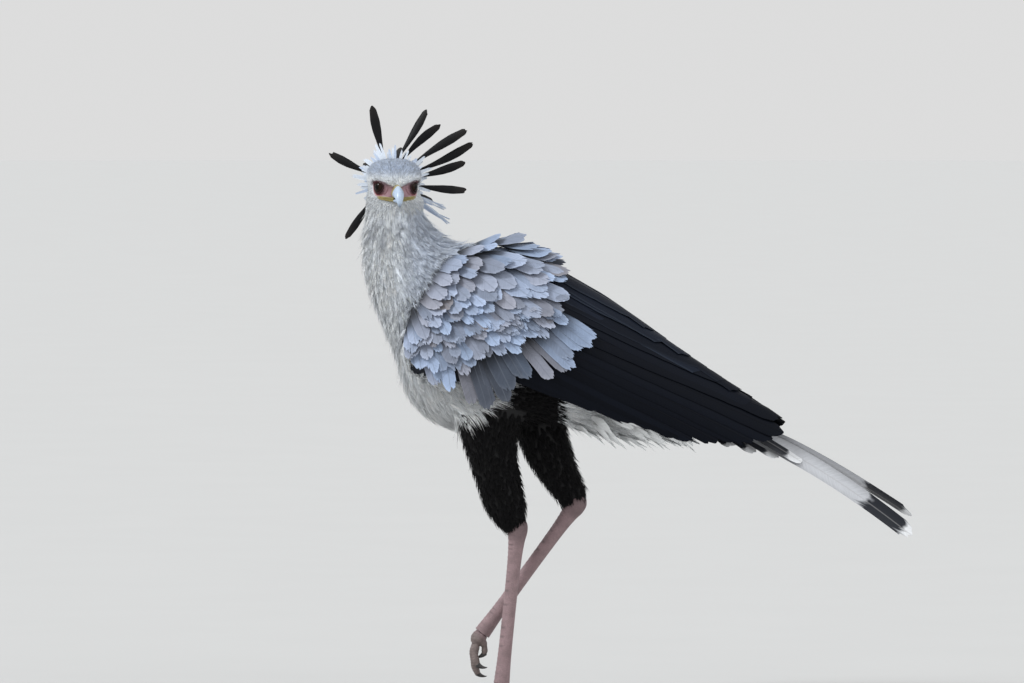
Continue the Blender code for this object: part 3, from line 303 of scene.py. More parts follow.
class BirdColours(bpy.types.PropertyGroup):
    """Colours of the plumage and of the bare parts."""

    white: tint_of("White", "Neck, breast and belly", (0.91, 0.95, 1.0))
    crown: tint_of("Crown", "Top of the head", (0.37, 0.455, 0.62))
    streak: tint_of("Streak", "Grey streaks of the throat and nape", (0.2, 0.22, 0.27))
    grey: tint_of("Grey", "Wing coverts and scapulars", (0.245, 0.31, 0.44))
    brown: tint_of("Brown", "Worn wing coverts", (0.205, 0.195, 0.215))
    black: tint_of("Black", "Flight feathers", (0.0034, 0.0046, 0.0085))
    thigh: tint_of("Thigh", "Thigh feathers", (0.0045, 0.0042, 0.0048))
    crest: tint_of("Crest", "Crest quills", (0.0055, 0.0055, 0.0065))
    tail: tint_of("Tail", "Long tail feathers", (0.5, 0.51, 0.54))
    face: tint_of("Face", "Bare skin round the eyes", (0.29, 0.056, 0.06))
    lores: tint_of("Lores", "Paler skin towards the bill", (0.34, 0.205, 0.235))
    rim: tint_of("Rim", "Dark skin at the lids", (0.045, 0.009, 0.012))
    cere: tint_of("Cere", "Cere and gape", (0.31, 0.255, 0.095))
    bill: tint_of("Bill", "Horn of the bill", (0.4, 0.49, 0.62))
    iris: tint_of("Iris", "Iris of the eye", (0.014, 0.0065, 0.0035))
    shank: tint_of("Shank", "Scaled shanks", (0.315, 0.212, 0.222))
    foot: tint_of("Foot", "Toes", (0.2, 0.155, 0.145))
    claw: tint_of("Claw", "Claws", (0.02, 0.018, 0.018))


class BirdStudio(bpy.types.PropertyGroup):
    """The plain stage."""

    floor: tint_of("Floor", "Pale floor", (0.517, 0.515, 0.512))
    sky: share_of("Sky", "Strength of the even light from all round", 0.72)
    key: share_of("Key", "Strength of the soft light from above", 1.14)


# Shapes and arrays


def around(count):
    """Turns round a circle."""
    return np.linspace(0, 2 * np.pi, count, endpoint=False)


def unit(vectors):
    """The vectors at length one."""
    return vectors / np.maximum(np.linalg.norm(vectors, axis=-1, keepdims=True), 1e-12)


def smooth_step(values, low, high):
    """0 below low, 1 above high, and a soft change between."""
    share = np.clip((np.asarray(values, float) - low) / (high - low), 0.0, 1.0)
    return share * share * (3 - 2 * share)


def rows_at(rows, place):
    """Rows of numbers at fractional places along a list of rows, on a smooth curve through them."""
    rows = np.asarray(rows, float)
    last = len(rows) - 1
    place = np.clip(np.asarray(place, float), 0.0, last)
    start = np.minimum(place.astype(int), last - 1)
    part = (place - start)[..., None]
    before, here = rows[np.maximum(start - 1, 0)], rows[start]
    ahead, after = rows[start + 1], rows[np.minimum(start + 2, last)]
    curve = (2 * before - 5 * here + 4 * ahead - after) * part
    curve = curve + (3 * here - 3 * ahead + after - before) * part * part
    return here + 0.5 * part * (ahead - before + curve)


def line_points(points, shares):
    """Points at shares of the way along a smooth line through a few points."""
    return rows_at(points, np.asarray(shares, float) * (len(points) - 1))


def toned(colour, share):
    """A colour made darker or lighter."""
    return np.array(colour) * share


def mixed(first, second, share):
    """A blend of two colours by an array of shares."""
    share = np.asarray(share, float)[..., None]
    return np.asarray(first, float) * (1 - share) + np.asarray(second, float) * share


HEAD_TURN = np.array(Matrix.Rotation(HEAD_YAW, 3, "Z"))


def from_head(points):
    """World points of points in the head's own axes."""
    return np.asarray(points, float) @ HEAD_TURN.T + HEAD_CENTRE


def to_head(points):
    """Points in the head's own axes of world points."""
    return (np.asarray(points, float) - HEAD_CENTRE) @ HEAD_TURN


def body_point(place, turn, inset=0.0):
    """A point on the neck and body: turn 0 is the throat and belly, half a turn is the back."""
    throat_x, throat_z, back_x, back_z, half = np.moveaxis(rows_at(BODY_SECTIONS, place), -1, 0)
    tall = np.hypot(back_x - throat_x, back_z - throat_z)
    inset = np.minimum(inset, 0.4 * half)
    share = (inset + (0.5 - 0.5 * np.cos(turn)) * (tall - 2 * inset)) / tall
    y = MID_Y + (half - inset) * np.sin(turn)
    return np.stack([throat_x + (back_x - throat_x) * share, y, throat_z + (back_z - throat_z) * share], -1)


def head_point(place, turn, inset=0.0):
    """A point on the head; the face end is a little squarer than an ellipse."""
    height, half, front, back = np.moveaxis(rows_at(HEAD_SECTIONS, place), -1, 0)
    middle, depth = (front + back) / 2, (back - front) / 2
    cos, sin = np.cos(turn), np.sin(turn)
    x = (half - inset) * np.sign(cos) * np.abs(cos) ** 0.92
    y = middle + (depth - inset) * np.sign(sin) * np.abs(sin) ** 0.96
    z = height - inset * smooth_step(height, 0.02, 0.05)
    return from_head(np.stack(np.broadcast_arrays(x, y, z), -1))


def thigh_point(limb, place, turn, inset=0.0):
    """A point on a feathered thigh."""
    rows, hip_y, ankle, _ = LIMBS[limb]
    front_x, front_z, back_x, back_z, half, share = np.moveaxis(rows_at(rows, place), -1, 0)
    wide = np.hypot(back_x - front_x, back_z - front_z)
    inset = np.minimum(inset, 0.3 * half)
    across = (inset + (0.5 - 0.5 * np.cos(turn)) * (wide - 2 * inset)) / wide
    y = hip_y + (ankle[1] - hip_y) * share + (half - inset) * np.sin(turn)
    return np.stack([front_x + (back_x - front_x) * across, y, front_z + (back_z - front_z) * across], -1)


def wing_row(x):
    """Centre height, half height and half width of the wing surface at x."""
    rows = np.asarray(WING_SECTIONS)
    place = np.interp(x, rows[:, 0], np.arange(len(rows)))
    high, low, half = np.moveaxis(rows_at(rows[:, 1:], place), -1, 0)
    return (high + low) / 2, (high - low) / 2, half


def wing_turn(x, z):
    """The angle on the wing surface whose side view height is z."""
    centre, tall, _ = wing_row(x)
    return np.arcsin(np.clip((z - centre) / tall, -0.985, 0.992))


def wing_point(x, turn, lift, side):
    """Points on the wing surface, lifted off it, and the surface's normals."""
    step = 0.002

    def bare(x_here, turn_here):
        centre, tall, half = wing_row(x_here)
        return np.stack([x_here, side * half * np.cos(turn_here), centre + tall * np.sin(turn_here)], -1)

    turn = np.clip(turn, -1.45, 1.53)
    along = bare(x + step, turn) - bare(x - step, turn)
    up = bare(x, turn + step) - bare(x, turn - step)
    normal = unit(np.cross(along, up))
    normal = normal * np.where(normal[..., 1:2] * side < 0, -1.0, 1.0)
    return bare(x, turn) + normal * np.asarray(lift)[..., None] + np.array([0.0, MID_Y, 0.0]), normal


def pad_edges(x):
    """Lower and upper edge heights of the wing's pad at x."""
    rows = np.asarray(PAD_EDGES)
    return np.interp(x, rows[:, 0], rows[:, 1]), np.interp(x, rows[:, 0], rows[:, 2])


def pad_lift(x, z):
    """How far the wing's pad stands out at a side view point."""
    low, high = pad_edges(x)
    share = np.clip((z - low) / np.maximum(high - low, 0.001), 0.0, 1.0)
    front, rear = (x - PAD_EDGES[0][0]) / 0.05, (PAD_EDGES[-1][0] - x) / 0.07
    ends = np.clip(front, 0.0, 1.0) * np.clip(rear, 0.0, 1.0)
    return PAD_RISE * np.sin(np.pi * share) ** 0.5 * (0.3 + 0.7 * ends)


def loft(bm, rings):
    """A closed body through rings of points: a capped circle that is extruded from ring to ring."""
    circle = bmesh.ops.create_circle(bm, cap_ends=True, segments=len(rings[0]), radius=1.0)
    face = circle["verts"][0].link_faces[0]
    for vert, spot in zip(face.verts, rings[0]):
        vert.co = spot
    for k, ring in enumerate(rings[1:]):
        made = bmesh.ops.extrude_face_region(bm, geom=[face])["geom"]
        if k:
            bm.faces.remove(face)
        face = next(item for item in made if isinstance(item, bmesh.types.BMFace))
        for vert, spot in zip(face.verts, ring):
            vert.co = spot


def tube_rings(points, radii, sides=16, flat=1.0, floor=None, across=(0.0, 1.0, 0.0)):
    """Rings along a bent limb; flat squeezes its depth, and floor cuts the rings to a flat sole."""
    points = [Vector(point) for point in points]
    across = Vector(across)
    rings = []
    for i, point in enumerate(points):
        ahead = (points[min(i + 1, len(points) - 1)] - points[max(i - 1, 0)]).normalized()
        side = (across - ahead * across.dot(ahead)).normalized()
        up = ahead.cross(side)
        ring = []
        for k in range(sides):
            turn = 2 * math.pi * k / sides
            spot = point + side * radii[i] * math.cos(turn) + up * radii[i] * flat * math.sin(turn)
            if floor is not None:
                spot.z = max(spot.z, floor)
            ring.append(spot)
        rings.append(ring)
    return rings


def placed(name, data, turn=(0.0, 0.0, 0.0)):
    """A new object in the scene, turned by angles in degrees."""
    obj = bpy.data.objects.new(name, data)
    obj.rotation_euler = [math.radians(angle) for angle in turn]
    bpy.context.scene.collection.objects.link(obj)
    return obj


def mesh_of(name, bm):
    """A mesh from a bmesh, which is then freed."""
    mesh = bpy.data.meshes.new(name)
    bm.to_mesh(mesh)
    bm.free()
    return mesh


def piece(name, bm, material, replaces=(), sharp=None):
    """A finished piece of the bird from a bmesh, with its faces outwards."""
    bmesh.ops.recalc_face_normals(bm, faces=bm.faces)
    mesh = mesh_of(name, bm)
    mesh.shade_smooth()
    if sharp:
        mesh.set_sharp_from_angle(angle=math.radians(sharp))
    mesh.materials.append(material)
    obj = placed(name, mesh)
    belong(obj, replaces)
    return obj


def relax(bm, verts):
    """Moves points halfway to the middle of their neighbours."""
    bmesh.ops.smooth_vert(bm, verts=verts, factor=0.5, use_axis_x=True, use_axis_y=True, use_axis_z=True)


def points_of(mesh):
    """The points of a mesh as rows."""
    points = np.empty(len(mesh.vertices) * 3)
    mesh.vertices.foreach_get("co", points)
    return points.reshape(-1, 3)


def carry(mesh, tint):
    """Gives each point of a mesh its colour, for its material."""
    layer = mesh.attributes.new("Marks", "FLOAT_COLOR", "POINT")
    rows = np.concatenate([np.broadcast_to(tint, (len(tint), 3)), np.ones((len(tint), 1))], 1)
    layer.data.foreach_set("color", np.ascontiguousarray(rows, np.float32).ravel())


def belong(obj, replaces=()):
    """Ties a piece to the still body and the solids that it stands for."""
    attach(obj, "root")
    if replaces:
        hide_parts(*replaces)


def evaluated(obj):
    """The object's mesh after its modifiers, which are then dropped."""
    graph = bpy.context.evaluated_depsgraph_get()
    mesh = bpy.data.meshes.new_from_object(obj.evaluated_get(graph))
    obj.modifiers.clear()
    return mesh


def one_body(obj, voxel, rounds):
    """Joins an object's overlapping bodies on a grid and evens them: the mesh, also as a bmesh."""
    remesh = obj.modifiers.new("one_body", "REMESH")
    remesh.mode, remesh.voxel_size = "VOXEL", voxel
    mesh, bm = evaluated(obj), bmesh.new()
    bm.from_mesh(mesh)
    for _ in range(rounds):
        relax(bm, bm.verts)
    return mesh, bm


def settle(obj, mesh, bm):
    """Gives the object its finished mesh."""
    bm.to_mesh(mesh)
    bm.free()
    mesh.shade_smooth()
    obj.data = mesh


def array_mesh(name, verts, polygons, material, uvs, marks, floats=None, sharp=None):
    """A mesh of many like feathers from arrays: polygons are index arrays of one width each."""
    mesh = bpy.data.meshes.new(name)
    mesh.vertices.add(len(verts))
    mesh.vertices.foreach_set("co", np.ascontiguousarray(verts, np.float32).ravel())
    loops = np.concatenate([faces.ravel() for faces in polygons]).astype(np.int32)
    sizes = np.concatenate([np.full(len(faces), faces.shape[1]) for faces in polygons])
    mesh.loops.add(len(loops))
    mesh.loops.foreach_set("vertex_index", loops)
    mesh.polygons.add(len(sizes))
    starts = np.concatenate([[0], np.cumsum(sizes)[:-1]]).astype(np.int32)
    mesh.polygons.foreach_set("loop_start", starts)
    mesh.update(calc_edges=True)
    for label, places in uvs.items():
        layer = mesh.uv_layers.new(name=label, do_init=False)
        layer.uv.foreach_set("vector", np.ascontiguousarray(places[loops], np.float32).ravel())
    carry(mesh, marks)
    for label, values in (floats or {}).items():
        layer = mesh.attributes.new(label, "FLOAT", "POINT")
        layer.data.foreach_set("value", np.ascontiguousarray(values, np.float32).ravel())
    mesh.shade_smooth()
    if sharp:
        mesh.set_sharp_from_angle(angle=math.radians(sharp))
    mesh.materials.append(material)
    return placed(name, mesh)


def bake_places(roots, x, y):
    """Each feather's patch on the bake map: roots (n, 2) in the unit square, x and y from 0 to 1."""
    span = np.maximum(np.ptp(roots, axis=0), 1e-6)
    spots = 0.01 + 0.98 * (roots - roots.min(0)) / span
    shape = (len(roots),) + (1,) * (x.ndim - 1) + (2,)
    return np.clip(spots.reshape(shape) + PATCH * (np.stack(np.broadcast_arrays(x, y), -1) - 0.5), 0.0, 1.0)


def ring_quads(count, rings, around, each):
    """Quads between neighbouring rings of each of many feathers, which have the same points each."""
    low = (np.arange(count) * each)[:, None, None] + (np.arange(rings - 1) * around)[None, :, None]
    k = np.arange(around)[None, None]
    j = (k + 1) % around
    return np.stack([low + k, low + j, low + around + j, low + around + k], -1).reshape(-1, 4)


def strand_mesh(name, centre, side, up, wide, thick, marks, roots, material):
    """Thin closed barbs with a flat three-sided section and a point, along centre lines (n, rows, 3)."""
    count, rows = centre.shape[:2]
    section = np.array([(-1.0, -0.35), (1.0, -0.35), (0.0, 1.0)])
    rings = centre[:, :-1, None] + side[:, :-1, None] * wide[:, :-1, None, None] * section[:, :1]
    rings = rings + up[:, :-1, None] * thick[:, :-1, None, None] * section[:, 1:]
    flat = rings.reshape(count, -1, 3)
    verts = np.concatenate([flat, centre[:, -1:]], 1).reshape(-1, 3)
    each = 3 * (rows - 1) + 1
    quads = ring_quads(count, rows - 1, 3, each)
    base, last, tip = np.arange(count) * each, 3 * (rows - 2), each - 1
    points = [np.stack([base + last + k, base + last + (k + 1) % 3, base + tip], -1) for k in range(3)]
    points.append(np.stack([base + 2, base + 1, base], -1))
    along = np.repeat(np.linspace(0, 1, rows)[:-1], 3)
    across = np.tile([0.0, 1.0, 0.5], rows - 1)
    x, y = np.append(across, 0.5)[None], np.append(along, 1.0)[None]
    places = bake_places(roots, x, y).reshape(-1, 2)
    colours = np.concatenate([np.repeat(marks[:, :-1], 3, axis=1), marks[:, -1:]], 1).reshape(-1, 3)
    return array_mesh(name, verts, [quads, np.concatenate(points)], material, {"OFBake": places}, colours)


def vane_mesh(name, grid, normal, rib, edge, marks, roots, pattern, material, strips=False):
    """Closed feather vanes from middle surfaces (n, rows, columns, 3), thicker over the shaft."""
    count, rows, columns = grid.shape[:3]
    u = np.linspace(-1, 1, columns)
    share = np.linspace(0, 1, rows)[:, None]
    thick = edge + (rib - edge) * np.exp(-((u / 0.14) ** 2))[None] * (1.0 - 0.6 * share)
    thick = thick[None, ..., None]
    over, under = grid + normal * thick, grid - normal * thick
    inner = np.arange(columns - 2, 0, -1)
    order = np.concatenate([np.arange(columns), inner])
    ring = np.concatenate([grid[:, :, :1], under[:, :, 1:-1], grid[:, :, -1:], over[:, :, inner]], 2)
    around = 2 * columns - 2
    verts = ring.reshape(-1, 3)
    quads = ring_quads(count, rows, around, rows * around)
    # Both ends are closed by quads between the sheets, with a triangle at each side.
    caps, corners = [], []
    for at, turned in ((0, True), (rows - 1, False)):
        base = np.arange(count)[:, None] * rows * around + at * around
        m = np.arange(1, columns - 2)[None]
        square = np.stack([base + m, base + m + 1, base + around - m - 1, base + around - m], -1)
        first = np.stack([base, base + 1, base + around - 1], -1)
        final = np.stack([base + columns - 2, base + columns - 1, base + columns], -1)
        if turned:
            square, first, final = square[..., ::-1], first[..., ::-1], final[..., ::-1]
        caps.append(square.reshape(-1, 4))
        corners.extend([first.reshape(-1, 3), final.reshape(-1, 3)])
    x = np.broadcast_to(((u[order] + 1) / 2)[None, None], (count, rows, around))
    y = np.broadcast_to(share[None], (count, rows, around))
    if strips:
        # Large feathers: each has its own strip of the map, wide enough for its bands.
        lane = np.arange(count)[:, None, None]
        places = np.stack([(lane + 0.08 + 0.84 * x) / count, 0.01 + 0.98 * y], -1).reshape(-1, 2)
    else:
        places = bake_places(roots, x, y).reshape(-1, 2)
    uvs = {"OFBake": places, "Barbs": pattern[:, :, order].reshape(-1, 2)}
    colours = np.broadcast_to(marks, grid.shape)[:, :, order].reshape(-1, 3)
    floats = {"Across": (2 * x - 1).ravel(), "Along": y.ravel()}
    polygons = [np.concatenate([quads] + caps), np.concatenate(corners)]
    return array_mesh(name, verts, polygons, material, uvs, colours, floats, sharp=50)


# Materials


class Finish:
    """A Principled material and the few nodes that paint it."""

    def __init__(self, name, roughness, **sockets):
        self.material = bpy.data.materials.new(name)
        self.material.use_nodes = True
        self.tree = self.material.node_tree
        self.shader = self.tree.nodes["Principled BSDF"]
        self.shader.inputs["Roughness"].default_value = roughness
        for label, value in sockets.items():
            self.shader.inputs[label.replace("_", " ")].default_value = value

    def node(self, kind, inputs=None, **settings):
        """A node with its settings, and inputs by name or number that are values or sockets."""
        made = self.tree.nodes.new("ShaderNode" + kind)
        for label, value in settings.items():
            setattr(made, label, value)
        for key, value in (inputs or {}).items():
            if isinstance(value, bpy.types.NodeSocket):
                self.tree.links.new(value, made.inputs[key])
            else:
                made.inputs[key].default_value = value
        return made

    def place(self, scale=(1.0, 1.0, 1.0), source=None):
        """Object coordinates, or others, stretched."""
        source = source or self.node("TexCoord").outputs["Object"]
        return self.node("Mapping", {"Vector": source, "Scale": scale}).outputs["Vector"]

    def attribute(self, name, output="Color"):
        """A colour or number that the mesh carries."""
        return self.node("Attribute", attribute_name=name).outputs[output]

    def math(self, operation, a, b=0.0):
        """One sum on sockets or numbers."""
        return self.node("Math", {0: a, 1: b}, operation=operation).outputs[0]

    def noise(self, vector, scale, detail=3.0, rough=0.55):
        """Noise from 0 to 1."""
        inputs = {"Vector": vector, "Scale": scale, "Detail": detail, "Roughness": rough}
        return self.node("TexNoise", inputs).outputs["Fac"]

    def between(self, value, low, high, to_low=0.0, to_high=1.0):
        """A value stretched from one range to another, and clamped."""
        inputs = {"Value": value, "From Min": low, "From Max": high, "To Min": to_low, "To Max": to_high}
        return self.node("MapRange", inputs).outputs["Result"]

    def mix(self, share, first, second, blend="MIX"):
        """A mix of two colours."""
        inputs = {0: share}
        for key, value in ((6, first), (7, second)):
            inputs[key] = value if isinstance(value, bpy.types.NodeSocket) else (*value[:3], 1.0)
        return self.node("Mix", inputs, data_type="RGBA", blend_type=blend).outputs[2]

    def marked(self, tone):
        """The marks that the mesh carries, times a tone."""
        return self.mix(1.0, self.attribute("Marks"), tone, "MULTIPLY")

    def wear(self, colour, roughness=None, relief=None):
        """Links the finished colour and roughness, and the relief: its height, strength and depth."""
        sockets = {"Base Color": colour}
        if roughness:
            sockets["Roughness"] = self.between(roughness[0], 0.3, 0.7, *roughness[1:])
        if relief:
            inputs = dict(zip(("Height", "Strength", "Distance"), relief))
            sockets["Normal"] = self.node("Bump", inputs).outputs["Normal"]
        for label, socket in sockets.items():
            self.tree.links.new(socket, self.shader.inputs[label])
        return self.material


def down_material(name, roughness=0.8, sheen=0.15, gloss=0.2, soft=0.0):
    """Soft hair-like plumage: the marks that the mesh carries, broken up by fine noise."""
    finish = Finish(name, roughness, Sheen_Weight=sheen, Sheen_Roughness=0.6, Specular_IOR_Level=gloss,
                    Subsurface_Weight=soft, Subsurface_Radius=(1.0, 1.0, 1.0), Subsurface_Scale=0.003)
    fine = finish.noise(finish.place(), 420.0, 4.0)
    broad = finish.noise(finish.place(), 38.0, 3.0)
    fine_tone = finish.between(fine, 0.25, 0.75, 0.94, 1.06)
    tone = finish.math("MULTIPLY", fine_tone, finish.between(broad, 0.3, 0.7, 0.93, 1.06))
    return finish.wear(finish.marked(tone), relief=(fine, 0.25, 0.0006))


def vane_material(name, roughness, sheen, barb_depth, shaft, gloss=0.3):
    """A feather's vane: marks, a paler or darker shaft, and fine slanting barbs."""
    finish = Finish(name, roughness, Sheen_Weight=sheen, Sheen_Roughness=0.45, Specular_IOR_Level=gloss)
    barbs = finish.node("UVMap", uv_map="Barbs").outputs["UV"]
    combed = finish.noise(finish.place((90.0, 1500.0, 1.0), barbs), 1.0, 3.0, 0.7)
    coarse = finish.noise(finish.place((40.0, 330.0, 1.0), barbs), 1.0, 2.0)
    across = finish.math("ABSOLUTE", finish.attribute("Across", "Fac"))
    on_shaft = finish.between(across, 0.03, 0.09, 1.0, 0.0)
    thin_tone = finish.between(combed, 0.25, 0.75, 0.86, 1.1)
    tone = finish.math("MULTIPLY", thin_tone, finish.between(coarse, 0.3, 0.7, 0.9, 1.07))
    marks = finish.mix(finish.math("MULTIPLY", on_shaft, 0.35), finish.marked(tone), shaft)
    relief = finish.math("ADD", finish.math("MULTIPLY", combed, 0.5), finish.math("MULTIPLY", coarse, 0.8))
    relief = finish.math("ADD", relief, finish.math("MULTIPLY", on_shaft, 1.2))
    return finish.wear(marks, (coarse, roughness - 0.06, roughness + 0.08), (relief, 0.6, barb_depth))


def skin_material():
    """The skin under the coat, which carries the same marks, with pores and wrinkles."""
    finish = Finish("bird_skin", 0.62, Specular_IOR_Level=0.3)
    pores = finish.noise(finish.place(), 900.0, 2.0)
    folds = finish.noise(finish.place((1.0, 1.0, 1.8)), 230.0, 4.0)
    marks = finish.marked(finish.between(folds, 0.3, 0.7, 0.86, 1.1))
    relief = finish.math("ADD", finish.math("MULTIPLY", pores, 0.3), folds)
    return finish.wear(marks, relief=(relief, 0.5, 0.0007))


def bare_material(name, tone, second, scale=320.0, roughness=0.42):
    """Bare wrinkled skin of the face: two tones and fine folds."""
    finish = Finish(
        name, roughness, Subsurface_Weight=0.12, Subsurface_Scale=0.002, Specular_IOR_Level=0.25
    )
    folds = finish.noise(finish.place((1.0, 1.0, 1.6)), scale, 5.0, 0.65)
    broad = finish.noise(finish.place(), 95.0, 2.0)
    paint = finish.mix(finish.between(broad, 0.35, 0.65), tone, second)
    paint = finish.mix(1.0, paint, finish.between(folds, 0.25, 0.75, 0.78, 1.12), "MULTIPLY")
    return finish.wear(paint, (folds, roughness - 0.08, roughness + 0.12), (folds, 0.6, 0.0008))


def claw_material(tone, roughness=0.32):
    """Dark horn with faint growth streaks."""
    finish = Finish("claw_horn", roughness, Coat_Weight=0.25, Coat_Roughness=0.22)
    grain = finish.noise(finish.place((60.0, 60.0, 260.0)), 1.0, 4.0, 0.6)
    paint = finish.mix(finish.between(grain, 0.3, 0.7), tone, toned(tone, 2.2))
    return finish.wear(paint, (grain, roughness - 0.05, roughness + 0.08), (grain, 0.3, 0.0003))


def bill_material():
    """Horn and cere: the bill's own marks with faint growth streaks."""
    finish = Finish("bill_horn", 0.34, Coat_Weight=0.2, Coat_Roughness=0.25)
    grain = finish.noise(finish.place((180.0, 180.0, 520.0)), 1.0, 4.0, 0.6)
    paint = finish.marked(finish.between(grain, 0.25, 0.75, 0.86, 1.08))
    return finish.wear(paint, (grain, 0.28, 0.45), (grain, 0.35, 0.0003))


def scale_material(name, tone, second, cell):
    """Leg skin of small scales with dark, dusty joints."""
    finish = Finish(name, 0.55)
    inputs = {"Vector": finish.place((1.0, 1.0, 0.75)), "Scale": 1.0 / cell}
    cells = finish.node("TexVoronoi", inputs, feature="DISTANCE_TO_EDGE")
    joint = finish.between(cells.outputs["Distance"], 0.02, 0.16)
    broad = finish.noise(finish.place(), 60.0, 4.0)
    fine = finish.noise(finish.place(), 700.0, 3.0)
    paint = finish.mix(finish.between(broad, 0.35, 0.65), tone, second)
    paint = finish.mix(finish.between(joint, 0.0, 1.0, 0.5, 0.0), paint, toned(tone, 0.5))
    relief = finish.math("ADD", joint, finish.math("MULTIPLY", fine, 0.25))
    return finish.wear(finish.marked(paint), (fine, 0.45, 0.68), (relief, 0.7, 0.0005))


def eye_material(colours, gaze, centre):
    """A wet dark eye: pupil, brown iris with fine rays and a dark rim, by distance from the gaze line."""
    side = "left" if gaze[0] > 0 else "right"
    finish = Finish("eye_" + side, 0.05, Coat_Weight=0.14, Coat_Roughness=0.02, Specular_IOR_Level=0.05)
    source = finish.node("TexCoord").outputs["Object"]
    away = finish.node("VectorMath", {0: source, 1: tuple(centre)}, operation="SUBTRACT").outputs["Vector"]
    facing = finish.node("VectorMath", {0: away, 1: tuple(gaze)}, operation="DOT_PRODUCT").outputs["Value"]
    facing = finish.math("DIVIDE", facing, EYE_RADIUS)
    off = finish.math("ARCCOSINE", finish.math("MINIMUM", facing, 1.0))
    rays = finish.noise(finish.place(), 900.0, 3.0)
    paint = finish.mix(finish.between(rays, 0.3, 0.7), colours.iris, toned(colours.iris, 1.6))
    paint = finish.mix(finish.between(off, 0.3, 0.36, 1.0, 0.0), paint, (0.003, 0.0025, 0.002))
    paint = finish.mix(finish.between(off, 0.72, 0.86), paint, (0.012, 0.007, 0.005))
    return finish.wear(paint)


# Skin and the lie of the feathers


def coat_depth(place):
    """How deep the plumage is at a place along neck and body."""
    return np.interp(place, np.arange(len(COAT_DEPTH)), COAT_DEPTH)


def eye_axes(side):
    """Centre of an eye and its gaze, sideways and upward directions, in the world."""
    centre = from_head(EYE_CENTRE * [side, 1, 1])
    gaze = HEAD_TURN @ np.array([side * math.sin(EYE_AZIMUTH), -math.cos(EYE_AZIMUTH), 0.0])
    across = unit(np.cross(gaze, UPWARDS))
    return centre, gaze, across, np.cross(across, gaze)


def eye_opening(turn):
    """Half angle of the opening between the lids, at a turn round the eye from its side upwards."""
    up = np.sin(turn)
    return np.radians(56.0 - 16.0 * smooth_step(up, 0.0, 1.0) - 9.0 * smooth_step(-up, 0.0, 1.0))


def bare_share(points):
    """How bare of feathers the head is at world points, from 0 to 1."""
    local = to_head(points)
    near = np.stack([np.abs(local[..., 0]), local[..., 1], local[..., 2]], -1)
    wide = 0.0185 - 0.0035 * smooth_step(near[..., 0], 0.03, 0.038)
    away = np.linalg.norm((near - EYE_CENTRE) * [0.95, 0.9, 1.0], axis=-1)
    ring = 1 - smooth_step(away, wide, wide + 0.0045)
    start, end = EYE_CENTRE + [0.0, -0.012, -0.004], np.array([0.0075, -0.046, -0.01])
    share = np.clip(((near - start) @ (end - start)) / ((end - start) @ (end - start)), 0.0, 1.0)
    lores = np.linalg.norm(near - start - share[..., None] * (end - start), axis=-1)
    lores = 1 - smooth_step(lores, 0.0105, 0.014)
    brow = np.interp(near[..., 0], [0.0, 0.008, 0.018, 0.03, 0.042], [-0.003, 0.0005, 0.0055, 0.011, 0.013])
    return np.maximum(ring, lores) * (1 - smooth_step(near[..., 2], brow, brow + 0.0025))


def face_tint(points, colours):
    """Colour of the bare face: dark at the lids, red under the eyes, paler towards the bill, and painted
    shade in a fold under each eye.
    """
    local = to_head(points)
    near = np.stack([np.abs(local[..., 0]), local[..., 1], local[..., 2]], -1)
    forwards = smooth_step(-near[..., 1], 0.024, 0.036)
    tint = mixed(colours.face, colours.lores, forwards)
    away = np.linalg.norm(near - EYE_CENTRE - [0.006, -0.005, 0.0], axis=-1)
    tint = mixed(tint, colours.rim, 0.9 * (1 - smooth_step(away, 0.0115, 0.0152)))
    # Painted shade: a thin dark line in the fold under the eye.
    fold = np.exp(-(((away - 0.0185) / 0.001) ** 2)) * smooth_step(-near[..., 2], -0.002, 0.006)
    return mixed(tint, toned(colours.face, 0.35), 0.75 * fold)


def down_tint(points, region, colours):
    """Colour of the down at world points of one region of the bird, with painted shade where the wing meets
    the neck.
    """
    local, white = to_head(points), np.array(colours.white)
    if region == "thigh":
        return np.broadcast_to(colours.thigh, points.shape)
    if region == "head":
        crown = smooth_step(local[..., 2], 0.012, 0.034)
        back = smooth_step(local[..., 1], 0.005, 0.045)
        tint = mixed(white, colours.crown, crown * 0.85)
        tint = mixed(tint, white * 0.8, 0.6 * back * (1 - crown))
        patches = np.sin(points[..., 0] * 310 + 2.0 * np.sin(points[..., 2] * 240))
        patches = patches * np.sin(points[..., 1] * 270)
        tint = tint * (1 + 0.1 * patches * smooth_step(local[..., 2], 0.0, 0.02))[..., None]
        return mixed(tint, face_tint(points, colours), bare_share(points))
    low = smooth_step(-points[..., 2], -0.66, -0.5)
    shade = mixed(white, white * [1.0, 0.985, 0.955], low)
    # Painted shade: blue-grey on the lower neck and breast where the wing meets them.
    shade_by_wing = smooth_step(points[..., 0], -0.2, -0.13) * smooth_step(points[..., 2], 0.62, 0.72)
    shade = mixed(shade, white * [0.7, 0.74, 0.82], shade_by_wing)
    back = smooth_step(points[..., 0] - 0.9 * (0.9 - points[..., 2]), -0.13, -0.02)
    back = back * smooth_step(points[..., 2], 0.7, 0.78)
    return mixed(shade, colours.grey, back * 0.8)


def thinned(spots, spacing):
    """Indices of the spots that keep the spacing to each other, in their order."""
    cells, kept = {}, []
    keys = np.floor(spots / spacing).astype(int).tolist()
    near = [(i, j, k) for i in (-1, 0, 1) for j in (-1, 0, 1) for k in (-1, 0, 1)]
    limit = spacing * spacing
    for index, ((x, y, z), (a, b, c)) in enumerate(zip(keys, spots.tolist())):
        others = (spot for i, j, k in near for spot in cells.get((x + i, y + j, z + k), ()))
        if all((a - d) * (a - d) + (b - e) * (b - e) + (c - f) * (c - f) >= limit for d, e, f in others):
            cells.setdefault((x, y, z), []).append((a, b, c))
            kept.append(index)
    return np.array(kept, int)


